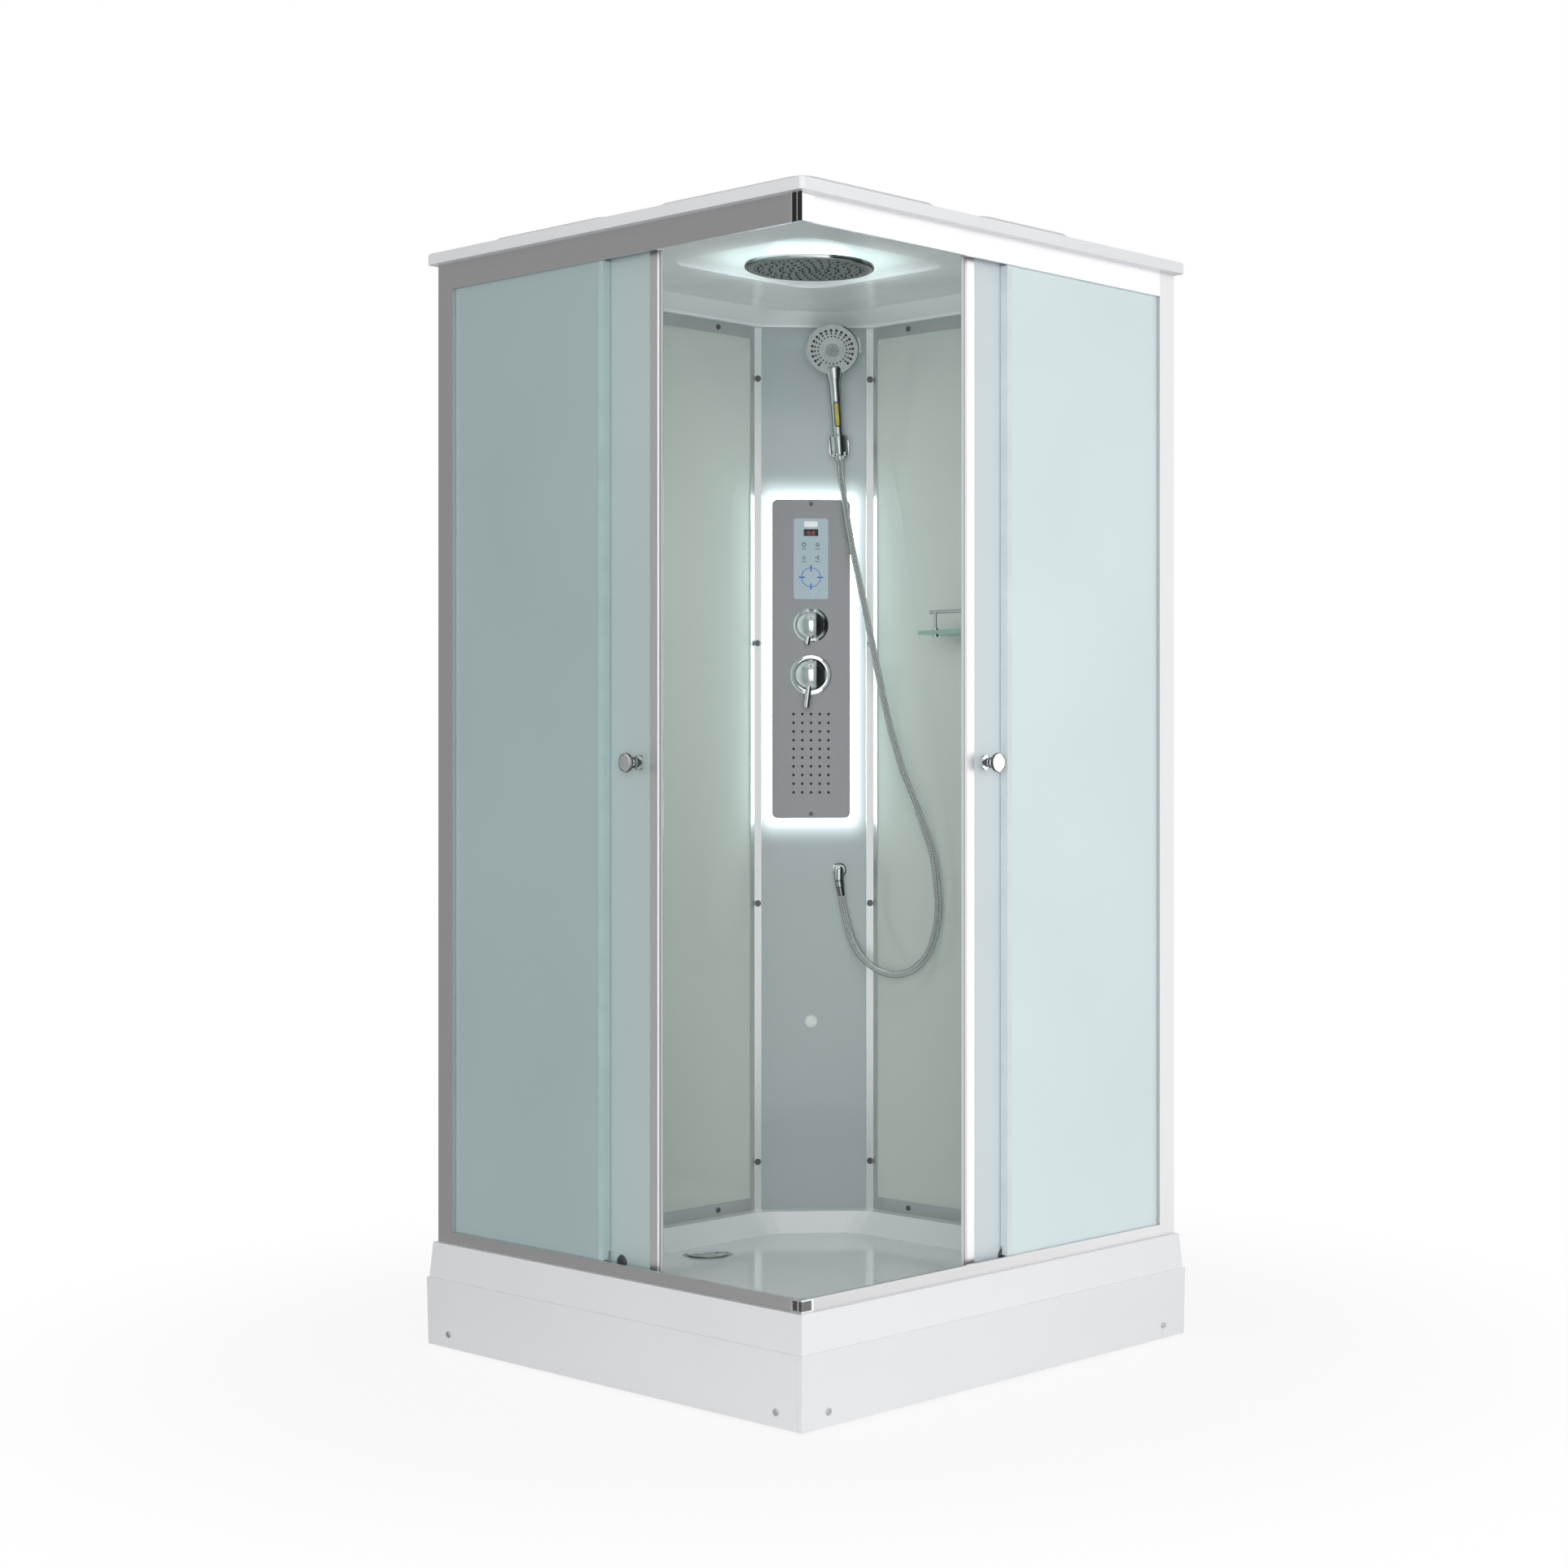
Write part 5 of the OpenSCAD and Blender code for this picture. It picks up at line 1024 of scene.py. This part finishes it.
class SHOWER_OT_jets(bpy.types.Operator):
    """Makes the soft jets of the control panel and of the rain shower."""
    bl_idname = "shower.jets"
    bl_label = "Set the jets"

    def execute(self, context):
        wall = COLUMN_WALL @ Matrix.Translation((FITTINGS_OFF, SPRAY_MID, PANEL_FRONT - 0.0045))
        bm = bmesh.new()
        for column in range(SPRAY_COLUMNS):
            for row in range(SPRAY_ROWS):
                spot = ((column - (SPRAY_COLUMNS - 1) / 2) * SPRAY_PITCH, (row - (SPRAY_ROWS - 1) / 2) * SPRAY_PITCH, 0)
                stud(bm, 0.0033, 0.0049, wall @ Matrix.Translation(spot), 12, 0.9)
        new_piece("panel_jets", bm, "Dark jets", "cabin")
        # Painted shade: dark crosses stand in for the shade inside the screws' slots.
        bm = bmesh.new()
        middle = COLUMN_WALL @ Matrix.Translation((FITTINGS_OFF, PANEL_MID, PANEL_FRONT + 0.0012))
        for side in (-1, 1):
            for turn in (math.pi / 4, -math.pi / 4):
                slot = Matrix.Translation((0, side * PANEL_SCREW_OFF, 0)) @ Matrix.Rotation(turn, 4, "Z")
                plate(bm, 0.0068, 0.0015, 0.0016, middle @ slot, 0, 0)
        new_piece("panel_screw_slots", bm, "Dark jets", "cabin")
        bm = bmesh.new()
        radius = context.scene.shower_sizes.rain_jet_radius
        down = Matrix.Rotation(math.pi, 4, "X")
        for ring, count in RAIN_RINGS:
            low = RAIN_Z - (0.0006 if ring < 0.087 else 0.0)
            for _, x, y in round_places(ring, count):
                stud(bm, radius, 0.0022, Matrix.Translation((x, y, low)) @ down, 8, 0.7)
        new_piece("rain_jets", bm, "Dark jets", "cabin")
        return {"FINISHED"}


class SHOWER_OT_finishes(bpy.types.Operator):
    """Gives every piece of the frame its finish."""
    bl_idname = "shower.finishes"
    bl_label = "Finish the surfaces"

    def execute(self, context):
        for name, piece in NODES.items():
            material = finish("Grey nylon" if name.startswith("roller_") else NODE_FINISH[name])
            if not piece.material_slots:
                piece.data.materials.append(material)
            for place in piece.material_slots:
                place.material = material
        return {"FINISHED"}


class SHOWER_PT_panel(bpy.types.Panel):
    """Shows the cabin's settings and the buttons of its steps."""
    bl_idname = "SHOWER_PT_panel"
    bl_label = "Corner shower cabin"
    bl_space_type = "VIEW_3D"
    bl_region_type = "UI"
    bl_category = "Shower"

    def draw(self, context):
        layout = self.layout
        for settings in (context.scene.shower_sizes, context.scene.shower_colours):
            box = layout.box()
            for key in settings.__annotations__:
                box.prop(settings, key)
        for operator in OPERATORS:
            layout.operator(operator.bl_idname)


OPERATORS = (SHOWER_OT_stage, SHOWER_OT_hose, SHOWER_OT_hand_shower, SHOWER_OT_keypad, SHOWER_OT_jets,
             SHOWER_OT_finishes)
CLASSES = (ShowerSizes, ShowerColours, *OPERATORS, SHOWER_PT_panel)


def register():
    for cls in CLASSES:
        bpy.utils.register_class(cls)
    bpy.types.Scene.shower_sizes = PointerProperty(type=ShowerSizes)
    bpy.types.Scene.shower_colours = PointerProperty(type=ShowerColours)


def unregister():
    del bpy.types.Scene.shower_colours
    del bpy.types.Scene.shower_sizes
    for cls in reversed(CLASSES):
        bpy.utils.unregister_class(cls)


def main():
    register()
    bpy.ops.shower.stage()
    bpy.ops.shower.hose()
    bpy.ops.shower.hand_shower()
    bpy.ops.shower.keypad()
    bpy.ops.shower.jets()
    bpy.ops.shower.finishes()


if __name__ == "__main__":
    main()
